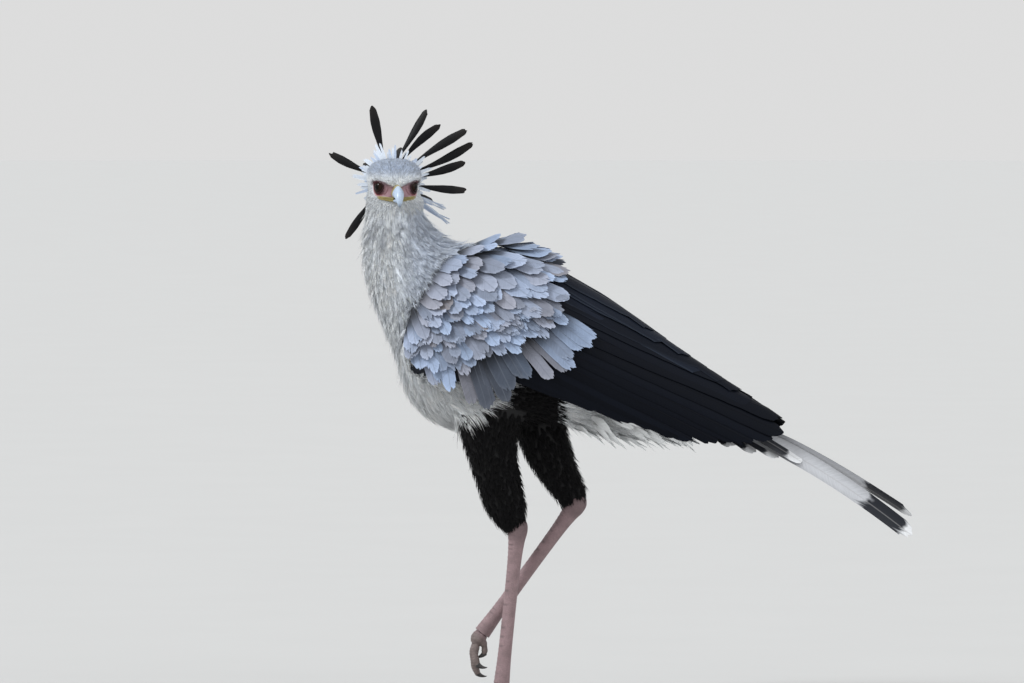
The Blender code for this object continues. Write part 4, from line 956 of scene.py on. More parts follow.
def thigh_top(points, region):
    """Which torso spots, between the thighs, wear the black of the thighs."""
    x, z = points[..., 0], points[..., 2]
    return (region == 1) & (x > -0.018) & (x < 0.112) & (z < 0.59)


class Lie:
    """The skin with its lie: for any spot, its region, the way its feathers run and its unwrap."""

    def __init__(self, mesh):
        verts = points_of(mesh)
        mesh.calc_loop_triangles()
        tris = np.empty(len(mesh.loop_triangles) * 3, int)
        mesh.loop_triangles.foreach_get("vertices", tris)
        tris = tris.reshape(-1, 3)
        self.tree = BVHTree.FromPolygons(verts.tolist(), tris.tolist())
        self.corners = verts[tris]
        cross = np.cross(self.corners[:, 1] - self.corners[:, 0], self.corners[:, 2] - self.corners[:, 0])
        self.areas = np.linalg.norm(cross, axis=1) / 2
        self.normals = unit(cross)
        self.middles = self.corners.mean(1)
        self.spots, self.flows, self.unwrap, self.region, self.place, self.depth = self.samples()
        self.tree_of_samples = KDTree(len(self.spots))
        for index, spot in enumerate(self.spots.tolist()):
            self.tree_of_samples.insert(spot, index)
        self.tree_of_samples.balance()
        self.face_sample = self.nearest(self.middles)

    @staticmethod
    def samples():
        """Sample spots of neck and body, head and thighs, with the way the feathers run at each."""
        turns = around(96)
        tables = []

        def add(spots, flows, shift, region, place, last, depth):
            unwrap = np.stack([(turn / (2 * np.pi) + shift) % 1.0, place / last], -1)
            region, depth = (np.broadcast_to(value, place.shape).ravel() for value in (region, depth))
            spots, flows, unwrap = spots.reshape(-1, 3), unit(flows.reshape(-1, 3)), unwrap.reshape(-1, 2)
            tables.append((spots, flows, unwrap, region, place.ravel(), depth))

        place, turn = np.meshgrid(np.arange(0, BODY_END + 0.01, 0.1), turns, indexing="ij")
        depth = coat_depth(place)
        flows = body_point(place + 0.05, turn) - body_point(place - 0.05, turn)
        flows[place > BODY_END - 0.1] = [1.0, 0.0, -0.2]
        region = np.where(place < BREAST_PLACE, 0, 1)
        add(body_point(place, turn, depth), flows, 0.5, region, place, BODY_END, depth)

        place, turn = np.meshgrid(np.arange(0.3, HEAD_END + 0.01, 0.1), turns, indexing="ij")
        spots = head_point(place, turn, HEAD_COAT)
        local = to_head(spots)
        away = unit(local - np.array([0.0, -0.047, -0.004]))
        low, back = smooth_step(-local[..., 2], -0.005, 0.04), smooth_step(local[..., 1], 0.02, 0.055)
        away[..., 2] -= 1.1 * low + 0.8 * back
        add(spots, away @ HEAD_TURN.T, 0.25, 2, place, HEAD_END, 0.0035)

        for region, limb in ((3, "left"), (4, "right")):
            last = len(LIMBS[limb][0]) - 1
            place, turn = np.meshgrid(np.arange(0.6, last + 0.01, 0.08), turns[::2], indexing="ij")
            flows = thigh_point(limb, place + 0.05, turn) - thigh_point(limb, place - 0.05, turn)
            flows[place > last - 0.1] = [0.0, 0.0, -1.0]
            add(thigh_point(limb, place, turn, THIGH_COAT), flows, 0.5, region, place, last, THIGH_COAT)
        return [np.concatenate(column) for column in zip(*tables)]

    def nearest(self, points):
        """Index of the nearest sample of each point."""
        return np.array([self.tree_of_samples.find(point)[1] for point in np.asarray(points).tolist()], int)

    def roots(self, wanted, spacing, rng):
        """Evenly spread feather roots on the wanted faces: spots, normals and samples."""
        areas = self.areas * wanted
        count = int(areas.sum() / spacing ** 2 * 6) + 1
        pick = rng.choice(len(areas), count, p=areas / areas.sum())
        first, second = rng.random((2, count, 1))
        first = np.sqrt(first)
        corners = self.corners[pick]
        spots = (1 - first) * corners[:, 0] + first * (1 - second) * corners[:, 1]
        spots = spots + first * second * corners[:, 2]
        kept = thinned(spots, spacing)
        return spots[kept], self.normals[pick][kept], self.nearest(spots[kept])

    def comb(self, spots, normals, flows, reach, steps):
        """Lines that follow the skin from each root, with the skin's normals along them."""
        lines, ups = np.empty((2, len(spots), steps + 1, 3))
        for i, (spot, normal, way) in enumerate(zip(spots.tolist(), normals.tolist(), flows.tolist())):
            spot, normal, way = Vector(spot), Vector(normal), Vector(way)
            for k in range(steps + 1):
                lines[i, k], ups[i, k] = spot, normal
                way = (way - normal * way.dot(normal)).normalized()
                found, face_normal, _, _ = self.tree.find_nearest(spot + way * (reach[i] / steps))
                normal = (normal * 0.4 + face_normal * 0.6).normalized()
                sample = self.tree_of_samples.find(found)[1]
                way = way * 0.7 + Vector(self.flows[sample].tolist()) * 0.3
                spot = found
        return lines, ups


def at_shares(lines, shares):
    """Points at shares (n, ...) of the way along polylines (n, m, 3)."""
    last = lines.shape[1] - 1
    place = np.clip(shares, 0.0, 1.0) * last
    start = np.minimum(place.astype(int), last - 1)
    part = (place - start)[..., None]
    row = np.arange(len(lines)).reshape((-1,) + (1,) * (shares.ndim - 1))
    return lines[row, start] * (1 - part) + lines[row, start + 1] * part


def plumes(name, lie, wanted, look, rng, paint, material, rows=4):
    """Soft body feathers: tufts of fine barbs rooted in the skin, each rising to the coat's surface."""
    reach, spacing, barbs, wide, half, proud, cup, stray = look
    spots, normals, samples = lie.roots(wanted, spacing, rng)
    count = len(spots)
    reach = reach * rng.uniform(0.78, 1.15, count)
    flows = lie.flows[samples]
    flows = flows + np.cross(normals, flows) * rng.normal(0.0, stray, (count, 1))
    lines, ups = lie.comb(spots, normals, flows, reach, 4)
    u = np.linspace(-1, 1, barbs)[None, :, None]
    u = u + rng.uniform(-0.9, 0.9, (count, barbs, 1)) / barbs
    ends = 1 - 0.2 * np.minimum(np.abs(u), 1.2) ** 1.6 - rng.uniform(0, 0.34, (count, barbs, 1))
    shares = np.linspace(0, 1, rows) * ends
    middle, up = at_shares(lines, shares), unit(at_shares(ups, shares))
    tangent = unit(at_shares(lines, shares + 0.12) - at_shares(lines, shares - 0.12))
    side = unit(np.cross(up, tangent))
    depth = lie.depth[samples][:, None, None]
    x, z = spots[:, 0], spots[:, 2]
    clear = (lie.region[samples] != 1) | (z < 0.53) | (x < -0.16)
    tops = depth + proud * np.where(clear, 1.0, 0.25)[:, None, None] * rng.uniform(0.3, 1.6, (count, 1, 1))
    height = -0.0015 + (tops + 0.0015) * shares ** 0.85 - cup * u ** 2
    height = height + rng.normal(0, 0.0003, (count, barbs, 1))
    # Loose plumes stand off the neck and the undertail, but not where the wings lie on the body.
    free = np.where(x > 0.11, 0.34, 0.14) * clear
    loose = (rng.random(count) < free)[:, None, None] * rng.uniform(0.5, 5.0, (count, 1, 1))
    height = height + loose * proud * shares ** 2.2
    fan = half * u * (0.3 + 0.7 * shares ** 0.8) * rng.uniform(0.7, 1.3, (count, 1, 1))
    sway = rng.normal(0, 0.0008, (count, barbs, 1))
    wave = sway * np.sin(shares * rng.uniform(2.0, 5.0, (count, barbs, 1)))
    centre = middle + side * (fan + wave)[..., None] + up * height[..., None]
    tint = paint(centre, samples)
    tint = tint * rng.normal(1.0, 0.07, (count, 1, 1, 1)) * rng.normal(1.0, 0.07, (count, barbs, 1, 1))
    profile = np.interp(np.linspace(0, 1, rows), [0, 0.35, 0.7, 1.0], [0.45, 1.0, 0.8, 0.2])
    widths = wide * profile * rng.uniform(0.75, 1.2, (count, barbs, 1))
    tint = np.clip(tint, 0.0, 1.0)
    centre, side, up, tint = (grid.reshape(-1, rows, 3) for grid in (centre, side, up, tint))
    widths, places = widths.reshape(-1, rows), np.repeat(lie.unwrap[samples], barbs, 0)
    belong(strand_mesh(name, centre, side, up, widths, 0.22 * widths, tint, places, material))


class BIRD_OT_skin(bpy.types.Operator):
    """Makes the one skin under the coat, and finds how the feathers lie on it"""

    bl_idname = "bird.skin"
    bl_label = "Skin"

    def flesh(self, bm):
        """Overlapping bodies of the flesh."""
        turns = around(48)
        rings = [
            body_point(place, turns, coat_depth(place)) for place in np.arange(0, BODY_END + 0.01, 0.25)
        ]
        loft(bm, [rings[0] + [0.004, 0.0, 0.024]] + rings)
        rings = [head_point(place, turns, HEAD_COAT) for place in np.arange(0, HEAD_END + 0.01, 0.25)]
        loft(bm, [rings[0] - [0.0, 0.0, 0.022]] + rings)
        for limb in ("left", "right"):
            last = len(LIMBS[limb][0]) - 1
            places = np.arange(0, last + 0.01, 0.25)
            loft(bm, [thigh_point(limb, place, turns, THIGH_COAT) for place in places])
        for side in (-1, 1):
            brow = from_head(line_points(BROW, np.linspace(0, 1, 20)) * [side, 1, 1])
            radii = np.interp(np.linspace(0, 1, 20), np.linspace(0, 1, 6), BROW_RADII) - 0.0012
            loft(bm, tube_rings(brow.tolist(), radii.tolist(), 16, across=UPWARDS))
            centre = eye_axes(side)[0]
            bulge = Matrix.Translation(centre.tolist())
            bmesh.ops.create_uvsphere(bm, u_segments=32, v_segments=20, radius=0.0138, matrix=bulge)
            rings = []
            for x in np.linspace(-0.176, 0.188, 18):
                low, high = pad_edges(x)
                z = np.linspace(low + 0.002, high - 0.002, 9)
                rim = np.sin(np.pi * np.linspace(0, 1, 9)) ** 0.5
                rim = rim * math.sin(math.pi * (x + 0.18) / 0.372) ** 0.5
                here = np.full(9, x)
                outer, _ = wing_point(here, wing_turn(here, z), pad_lift(here, z) - 0.003, side)
                inner, _ = wing_point(here, wing_turn(here, z), -0.006 - 0.028 * rim, side)
                rings.append(np.concatenate([outer, inner[::-1]]))
            loft(bm, rings)

    def shape_face(self, bm):
        """Refines the face, opens the eyes and folds the skin round them."""
        for _ in range(2):
            edges = set()
            for face in bm.faces:
                spot = np.array(face.calc_center_median())
                if spot[2] > 0.915 and to_head(spot)[1] < 0.012 and bare_share(spot) > 0.02:
                    edges.update(face.edges)
            bmesh.ops.subdivide_edges(bm, edges=list(edges), cuts=1, use_grid_fill=True)
        bm.verts.index_update()
        near = [vert for vert in bm.verts if vert.co.z > 0.915 and vert.co.y < 0.012]
        relax(bm, near)
        spots = np.array([vert.co for vert in near])
        for side in (-1, 1):
            centre, gaze, across, up = eye_axes(side)
            away = spots - centre
            reach = np.linalg.norm(away, axis=1, keepdims=True)
            way = away / reach
            angle = np.arccos(np.clip(way @ gaze, -1, 1))
            turn = np.arctan2(way @ up, way @ across)
            opening = eye_opening(turn)
            inside = 1 - smooth_step(angle, opening - 0.04, opening + 0.06)
            rim = np.exp(-(((angle - opening - 0.22) / 0.13) ** 2))
            outside = 0.0137 + 0.0008 * rim
            # Rounded pouches of skin under the eye and fine folds that circle it.
            below = smooth_step(-(way @ up), 0.1, 0.6)
            outside = outside + 0.001 * below * np.exp(-(((angle - opening - 0.45) / 0.16) ** 2))
            near_eye = 1 - smooth_step(angle, 1.15, 1.5)
            snug = np.maximum(reach[:, 0] * 0.35 + outside * 0.65, outside)
            snug = np.where(angle < 1.4, snug, reach[:, 0])
            target = reach[:, 0] * (1 - near_eye) + snug * near_eye
            target = np.where(reach[:, 0] < 0.02, target, reach[:, 0])
            target = target * (1 - inside) + 0.0102 * inside
            spots = np.where(reach < 0.03, centre + way * target[:, None], spots)
        local = to_head(spots)
        folds = bare_share(spots)[:, None] * 0.00018
        for vert, spot, fold, place in zip(near, spots, folds, local):
            ripple = math.sin(place[2] * 1500 + 6 * math.sin(place[0] * 190 + place[1] * 140)) * fold[0]
            vert.co = Vector(spot.tolist()) + vert.normal * ripple

    def execute(self, context):
        colours = context.scene.bird_colours
        bm = bmesh.new()
        self.flesh(bm)
        covered = ("head", "neck", "torso", "thigh_left", "thigh_right")
        skin = piece("skin", bm, skin_material(), covered)
        mesh, bm = one_body(skin, SKIN_VOXEL, 3)
        self.shape_face(bm)
        bmesh.ops.recalc_face_normals(bm, faces=bm.faces)
        settle(skin, mesh, bm)
        lie = Lie(mesh)
        verts = points_of(mesh)
        region = lie.region[lie.nearest(verts)]
        tint = down_tint(verts, "body", colours)
        # Painted shade: the skin under the head's feathers is darker, except on the bare face, so the gaps
        # between feathers read dark.
        head = down_tint(verts, "head", colours) * (0.62 + 0.38 * bare_share(verts))[:, None]
        tint = np.where((region == 2)[:, None], head, tint)
        black = (region >= 3) | thigh_top(verts, region)
        tint = np.where(black[:, None], np.asarray(colours.thigh), tint)
        # Under the wing the skin is nearly black, like the flight feathers: painted shade in the gaps between
        # and under the coverts.
        in_pad = (np.abs(verts[:, 1] - MID_Y) > 0.055) & (region == 1) & (verts[:, 2] > 0.585)
        tint = np.where(in_pad[:, None], toned(colours.black, 1.5), tint)
        carry(mesh, tint)
        STATE["lie"] = lie
        return {"FINISHED"}


class BIRD_OT_down(bpy.types.Operator):
    """Covers neck, breast, belly, head and thighs with soft feathers"""

    bl_idname = "bird.down"
    bl_label = "Down"

    def execute(self, context):
        lie, sizes, colours = STATE["lie"], context.scene.bird_plumage, context.scene.bird_colours
        rng = np.random.default_rng(21)
        soft, dark = down_material("white_down", soft=0.35), down_material("black_down", 0.62, 0.0, 0.12)
        spot, region = lie.middles, lie.region[lie.face_sample]
        place = lie.place[lie.face_sample]
        low, high = pad_edges(spot[:, 0])
        out = np.abs(spot[:, 1] - MID_Y)
        in_pad = (spot[:, 0] > -0.165) & (spot[:, 0] < 0.2) & (spot[:, 2] > low + 0.012) & (out > 0.03)
        in_pad &= spot[:, 2] < high + 0.01
        under_wing = (spot[:, 0] > 0.0) & (spot[:, 2] > 0.585)
        open_body = ~in_pad & ~under_wing

        def paint_body(points, samples):
            tint = down_tint(points, "body", colours)
            # Grey streaks down the throat, a few feathers wide.
            turn = lie.unwrap[samples][:, 0] - 0.5 + 0.23 * smooth_step(points[:, 0, 0, 2], 0.8, 0.88)
            streak = (rng.random(len(samples)) < 0.26 * (1 - smooth_step(np.abs(turn), 0.1, 0.22)))
            streak = streak * smooth_step(points[:, 0, 0, 2], 0.83, 0.86) * 0.6
            return mixed(tint, colours.streak, streak[:, None, None])

        def paint_head(points, samples):
            tint = down_tint(points, "head", colours)
            dark_one = (rng.random(len(samples)) < 0.34)[:, None, None, None]
            return np.where(dark_one, tint * 0.66, tint)

        def paint_thigh(points, samples):
            return down_tint(points, "thigh", colours)

        neck = (region == 0) | ((region == 2) & (spot[:, 2] < 0.918) & (spot[:, 2] > 0.88))
        black = thigh_top(spot, region)
        parts = [
            ("neck", neck & open_body, paint_body),
            ("breast", (region == 1) & open_body & (place < BELLY_PLACE), paint_body),
            ("belly", (region == 1) & open_body & (place >= BELLY_PLACE) & ~black, paint_body),
            ("head", (region == 2) & (bare_share(spot) < 0.8) & (spot[:, 2] > 0.905), paint_head),
            ("thigh", ((region >= 3) & (spot[:, 2] < 0.6)) | black, paint_thigh),
        ]
        for name, wanted, paint in parts:
            look = (getattr(sizes, name + "_length"), getattr(sizes, name + "_spacing"), *PLUME_LOOKS[name])
            for side, half in (("left", spot[:, 1] < MID_Y), ("right", spot[:, 1] >= MID_Y)):
                material, slot = (dark, "feather_black") if name == "thigh" else (soft, "down")
                rows = 3 if name == "head" else 4
                plumes(name + "_down_" + side, lie, wanted & half, look, rng, paint, material, rows)
        return {"FINISHED"}


# Wings, tail and crest


def end_shares(half, long, columns, power, ragged, rng):
    """How far along a feather each of its columns of barbs ends: a round tip, some barbs torn short."""
    u = np.abs(np.linspace(-1, 1, columns))
    count = len(half)
    ends = 1 - (0.92 * half / long)[:, None] * u[None] ** power
    ends = ends - rng.uniform(0, ragged, (count, columns)) / long[:, None]
    torn = rng.random((count, columns)) < 0.1
    return ends - torn * rng.uniform(0.5, 2.2, (count, columns)) * ragged / long[:, None]


def vane_shares(long, width, shape, rng, bend=1.0):
    """Feathers as shares along (to each column's end), across and by row, and how wide they are."""
    rows, columns, profile, power, ragged, _ = shape
    s, u = np.linspace(0, 1, rows) ** bend, np.linspace(-1, 1, columns)
    t = s[None, :, None] * end_shares(0.5 * width, long, columns, power, ragged, rng)[:, None]
    return t, u, s, np.interp(s, *np.transpose(profile))[None, :, None]


def lay_vanes(name, surface, shares, long, thick, paint, places, dress, rng, strips=False):
    """A piece of feathers from their surface, with the run of their barbs and their marks."""
    points, normals, w = surface
    t, u, s = shares
    rib, edge, slant = thick
    material, slot, replaces = dress
    run = t * long[:, None, None] - np.abs(w) * slant + rng.uniform(0, 3, (len(points), 1, 1))
    marks = paint(points, t, np.broadcast_to(u, t.shape), np.broadcast_to(s[None, :, None], t.shape))
    pattern = np.stack([w, run], -1)
    obj = vane_mesh(name, points, normals, rib, edge, marks, places, pattern, material, strips)
    belong(obj, replaces)


def wing_vanes(name, side, batch, shape, paint, material, slot, rng, replaces=()):
    """Feathers laid on the wing surface: batch holds roots, tips, widths, heights, tilt and sag."""
    root, tip, width, low, high, tilt, sag = batch
    count = len(root)
    long = np.linalg.norm(tip - root, axis=1)
    t, u, s, spread = vane_shares(long, width, shape, rng, 0.85)

    def centre(share):
        x = root[:, None, None, 0] + (tip - root)[:, None, None, 0] * share
        z = root[:, None, None, 1] + (tip - root)[:, None, None, 1] * share
        z = z + sag * np.sin(np.pi * np.clip(share, 0, 1))
        return x, wing_turn(x, z)

    x, turn = centre(t)
    ahead = wing_point(*centre(t + 0.01), 0.0, side)[0] - wing_point(*centre(t - 0.01), 0.0, side)[0]
    _, normal = wing_point(x, turn, 0.0, side)
    across = unit(np.cross(normal, ahead)) * -side
    _, tall, half = wing_row(x)
    up = np.stack([np.zeros_like(x), -side * half * np.sin(turn), tall * np.cos(turn)], -1)
    w = 0.5 * width[:, None, None] * spread * u * (1 + rng.normal(0, 0.015, (count, len(s), 1)))
    offset = across * w[..., None]
    base_x = x + offset[..., 0]
    base_turn = turn + (offset * up).sum(-1) / np.maximum((up * up).sum(-1), 1e-8)
    height = low[:, None, None] + (high - low)[:, None, None] * t
    height = height - tilt * u * spread - 0.001 * u ** 2 * spread
    height = height + shape[-1] * rng.uniform(0.2, 1.8, (count, 1, 1)) * t ** 4
    surface = (*wing_point(base_x, base_turn, height, side), w)
    places = np.stack([root[:, 0], wing_turn(root[:, 0], root[:, 1])], -1)
    dress = (material, slot, replaces)
    lay_vanes(name, surface, (t, u, s), long, (0.00065, 0.00022, 0.8), paint, places, dress, rng)


class BIRD_OT_wings(bpy.types.Operator):
    """Lays the coverts, scapulars and flight feathers of both folded wings"""

    bl_idname = "bird.wings"
    bl_label = "Wings"

    def execute(self, context):
        sizes, colours = context.scene.bird_plumage, context.scene.bird_colours
        grey = vane_material("grey_vane", 0.7, 0.1, 0.0005, (0.15, 0.17, 0.21), 0.22)
        black = vane_material("black_vane", 0.5, 0.0, 0.0003, (0.002, 0.002, 0.003), 0.07)
        for side, name in ((-1, "left"), (1, "right")):
            self.flights(name, side, sizes.flight_count, colours, black)
            self.coverts(name, side, colours, grey)
        return {"FINISHED"}

    def flights(self, name, side, count, colours, material):
        """The long black feathers, with painted blue sheen on the tertials."""
        rng = np.random.default_rng(40 + side)
        share = np.linspace(0, 1, count)
        root, tip = line_points(FLIGHT_ROOTS, share), line_points(FLIGHT_TIPS, share)
        tip = tip + rng.uniform(-0.008, 0.008, tip.shape)
        lift = 0.0044 - 0.0042 * share
        lift = lift + rng.uniform(-0.0006, 0.0006, count)
        tilt = np.interp(share, [0.0, 0.35, 1.0], [0.0034, 0.0022, 0.0014])[:, None, None]
        batch = (root, tip, np.linspace(0.048, 0.032, count), lift - 0.001, lift, tilt, 0.004)
        tertial_sheen = 1 - smooth_step(share, 0.05, 0.3)

        def paint(points, t, u, s):
            # Painted sheen: the tertials are lighter and bluer, and one edge of each is paler grey, partly a
            # paler fringe and partly painted sheen.
            base = mixed(colours.black, [0.016, 0.022, 0.038], tertial_sheen * 0.5)
            edge = smooth_step(-u, 0.8, 1.0) * tertial_sheen[:, None, None]
            tone = mixed(base[:, None, None], toned(colours.grey, 0.14), edge * 0.6)
            return tone * rng.uniform(0.8, 1.25, (count, 1, 1, 1))

        dress = (material, "feather_black", rng, ("wing_" + name,))
        wing_vanes("flight_" + name, side, batch, FLIGHT_SHAPE, paint, *dress)

    def coverts(self, name, side, colours, material):
        """Rows of grey feathers from the flight feathers up to the back."""
        rng = np.random.default_rng(60 + side)
        parts, last = [], len(COVERT_LINES) - 1
        for level in COVERT_LEVELS:
            low = min(int(level), last - 1)
            mix = level - low
            first, second = COVERT_LINES[low], COVERT_LINES[low + 1]
            width = (first[0] + (second[0] - first[0]) * mix) * (0.85 if 2 < level < 3 else 1.0)
            lift = first[1] + (second[1] - first[1]) * mix + (0.002 if level >= 3 else 0.0)
            rise = 0.006 + 0.003 * smooth_step(level, last - 1.0, last)
            count = int(round(np.interp(level, range(6), COVERT_COUNTS)))
            inner = np.arange(count) % (count - 1) > 0
            share = np.linspace(0, 1, count) + rng.uniform(-0.25, 0.25, count) / count * inner
            root = line_points(first[2], share) * (1 - mix) + line_points(second[2], share) * mix
            tip = line_points(first[3], share) * (1 - mix) + line_points(second[3], share) * mix
            tip = tip + (tip - root) * rng.uniform(-0.16, 0.14, (count, 1))
            tip = tip + rng.uniform(-0.007, 0.007, tip.shape)
            start = pad_lift(root[:, 0], root[:, 1])
            low_height = np.minimum(start - 0.003 + max(0.0, lift - 0.0065), start - 0.0022)
            widths = width * rng.uniform(0.66, 1.16, count)
            high = lift + rise + rng.uniform(-0.001, 0.0024, count)
            parts.append((root, tip, widths, low_height, high, np.full(count, level)))
        root, tip, width, low_height, high, level = [np.concatenate(column) for column in zip(*parts)]
        count = len(root)
        drift = np.sin(root[:, 0] * 52 + 1.3 * np.sin(root[:, 1] * 61))
        patch = 0.5 + 0.5 * drift * np.cos(root[:, 1] * 47)
        worn = np.clip(rng.uniform(-0.25, 0.85, count) * (0.4 + 0.9 * patch), 0, 1)
        worn = np.clip(worn + 0.4 * smooth_step(-root[:, 0], 0.08, 0.13) * (level > 2.8), 0, 1)
        # The middle of the lowest row is much darker: partly darker feathers, partly painted shade along the
        # bottom of the wing.
        dull_and_shaded = smooth_step(tip[:, 0], -0.06, -0.01) * (1 - smooth_step(tip[:, 0], 0.05, 0.1))
        dull_and_shaded = dull_and_shaded * (level < 0.7)
        tone = rng.uniform(0.72, 1.38, count) * (1 - 0.7 * dull_and_shaded)

        def paint(points, t, u, s):
            base = mixed(colours.grey, colours.brown, worn)
            base = base[:, None, None] * tone[:, None, None, None]
            rim = np.maximum(smooth_step(np.abs(u), 0.8, 1.0), smooth_step(s, 0.9, 1.0))
            base = mixed(base, np.minimum(base * 1.35 + 0.05, 1.0), rim * 0.45)
            # Painted shade where the feathers overlap: each base is near black, also standing for its darker
            # down.
            covered_shade = 0.08 + 0.92 * smooth_step(t, 0.15, 0.7)
            return base * covered_shade[..., None]

        batch = (root, tip, width, low_height, high, 0.0011, 0.0)
        wing_vanes("coverts_" + name, side, batch, COVERT_SHAPE, paint, material, "feather_grey", rng)


def free_vanes(name, batch, shape, paint, material, slot, rng, replaces=(), strips=True):
    """Feathers that stand free: centre lines (n, m, 3), a sideways vector each, widths and root places."""
    lines, aside, width, places = batch
    long = np.linalg.norm(np.diff(lines, axis=1), axis=2).sum(1)
    t, u, s, spread = vane_shares(long, width, shape, rng)
    centre = at_shares(lines, t)
    ahead = unit(at_shares(lines, t + 0.03) - at_shares(lines, t - 0.03))
    aside = np.broadcast_to(aside[:, None, None], centre.shape)
    aside = unit(aside - ahead * (aside * ahead).sum(-1, keepdims=True))
    normals = unit(np.cross(aside, ahead))
    w = 0.5 * width[:, None, None] * spread * u
    points = centre + aside * w[..., None] - normals * (shape[-1] * np.abs(w) * np.abs(u))[..., None]
    thick, dress = (0.0006, 0.00018, 0.9), (material, slot, replaces)
    lay_vanes(name, (points, normals, w), (t, u, s), long, thick, paint, places, dress, rng, strips)


class BIRD_OT_tail(bpy.types.Operator):
    """Lays the tail, whose central pair is far longer than the rest"""

    bl_idname = "bird.tail"
    bl_label = "Tail"

    def execute(self, context):
        colours = context.scene.bird_colours
        rng = np.random.default_rng(77)
        material = vane_material("tail_vane", 0.6, 0.2, 0.0004, (0.34, 0.33, 0.33))
        lines, aside, width, order = [], [], [], []
        shares = np.linspace(0, 1, 25)
        for i, (tip_x, tip_z, wide, roll, offset, bow) in enumerate([*TAIL_FEATHERS, SHORT_TAIL_FEATHER]):
            for side in (-1, 1):
                drop = LEFT_CENTRAL_DROP if i == 0 and side < 0 else 0.0
                end = np.array([tip_x, MID_Y + side * offset, tip_z - drop])
                start = TAIL_ROOT + [0.0, side * 0.006, -0.0035 * min(i, 4) - 0.25 * drop]
                line = start + (end - start) * shares[:, None]
                line[:, 2] += bow * np.sin(np.pi * shares) - 0.01 * shares ** 4 * (i == 0 and side < 0)
                lines.append(line)
                turn = 1.15 if drop else roll
                aside.append([0.0, math.cos(turn), -side * math.sin(turn)])
                width.append(wide)
                order.append(i)
        order = np.array(order)

        def paint(points, t, u, s):
            base = mixed(colours.tail, toned(colours.tail, 0.72), np.abs(u) ** 2 * 0.8)
            start = np.where(order == 0, 0.8, 0.66)[:, None, None]
            start = start + 0.01 * np.sin(u * 3.0) + 0.006 * rng.uniform(-1, 1, (1, 1, 9))
            stop = np.where(order == 0, 0.96, 0.88)[:, None, None]
            band = smooth_step(t, start - 0.004, start + 0.004)
            band = band * (1 - smooth_step(t, stop - 0.003, stop + 0.003))
            base = mixed(base, [0.72, 0.73, 0.75], smooth_step(t, stop, stop + 0.004))
            # Painted shade: darker towards the root, under the coverts.
            covered_shade = 0.75 + 0.25 * smooth_step(t, 0.0, 0.3)
            return mixed(base, toned(colours.black, 1.6), band) * covered_shade[..., None]

        batch = (np.array(lines), np.array(aside), np.array(width), None)
        free_vanes("tail_feathers", batch, TAIL_SHAPE, paint, material, "feather_pale", rng, ("tail",))
        self.undertail(colours)
        return {"FINISHED"}

    def undertail(self, colours):
        """Broad white feathers that hang in lobes under the root of the tail."""
        rng = np.random.default_rng(79)
        material = vane_material("undertail_vane", 0.8, 0.15, 0.0003, (0.6, 0.61, 0.62), 0.15)
        place, turn = [
            grid.ravel() for grid in np.meshgrid(np.arange(12.0, 15.1, 0.45), np.linspace(-1.35, 1.35, 9))
        ]
        count = len(place)
        place, turn = place + rng.uniform(-0.2, 0.2, count), turn + rng.uniform(-0.12, 0.12, count)
        root = body_point(place, turn, 0.002)
        way = unit(body_point(place + 0.4, turn) - root)
        out = unit(root - body_point(place, turn + np.pi)) * [0.6, 1.0, 1.0]
        shares = np.linspace(0, 1, 9)[None, :, None]
        reach = rng.uniform(0.042, 0.066, (count, 1, 1))
        lift = 0.002 + rng.uniform(0.012, 0.032, (count, 1, 1)) * shares ** 1.3
        lines = root[:, None] + way[:, None] * reach * shares + out[:, None] * lift

        def paint(points, t, u, s):
            tone = toned(colours.white, [0.98, 0.96, 0.92])
            # Painted shade: darker towards the root, where the feathers overlap.
            covered_shade = 0.55 + 0.45 * smooth_step(t, 0.1, 0.7)
            return tone * covered_shade[..., None] * rng.uniform(0.9, 1.05, (count, 1, 1, 1))

        batch = (lines, np.cross(way, out), rng.uniform(0.017, 0.026, count), np.stack([turn, place], -1))
        free_vanes("undertail_feathers", batch, UNDERTAIL_SHAPE, paint, material, "down", rng, strips=False)


def bowed(root, tip, side, bow, shares):
    """Points from root to tip on a line that bows to one side."""
    return root + (tip - root) * shares[:, None] + side * (bow * np.sin(np.pi * shares))[:, None]


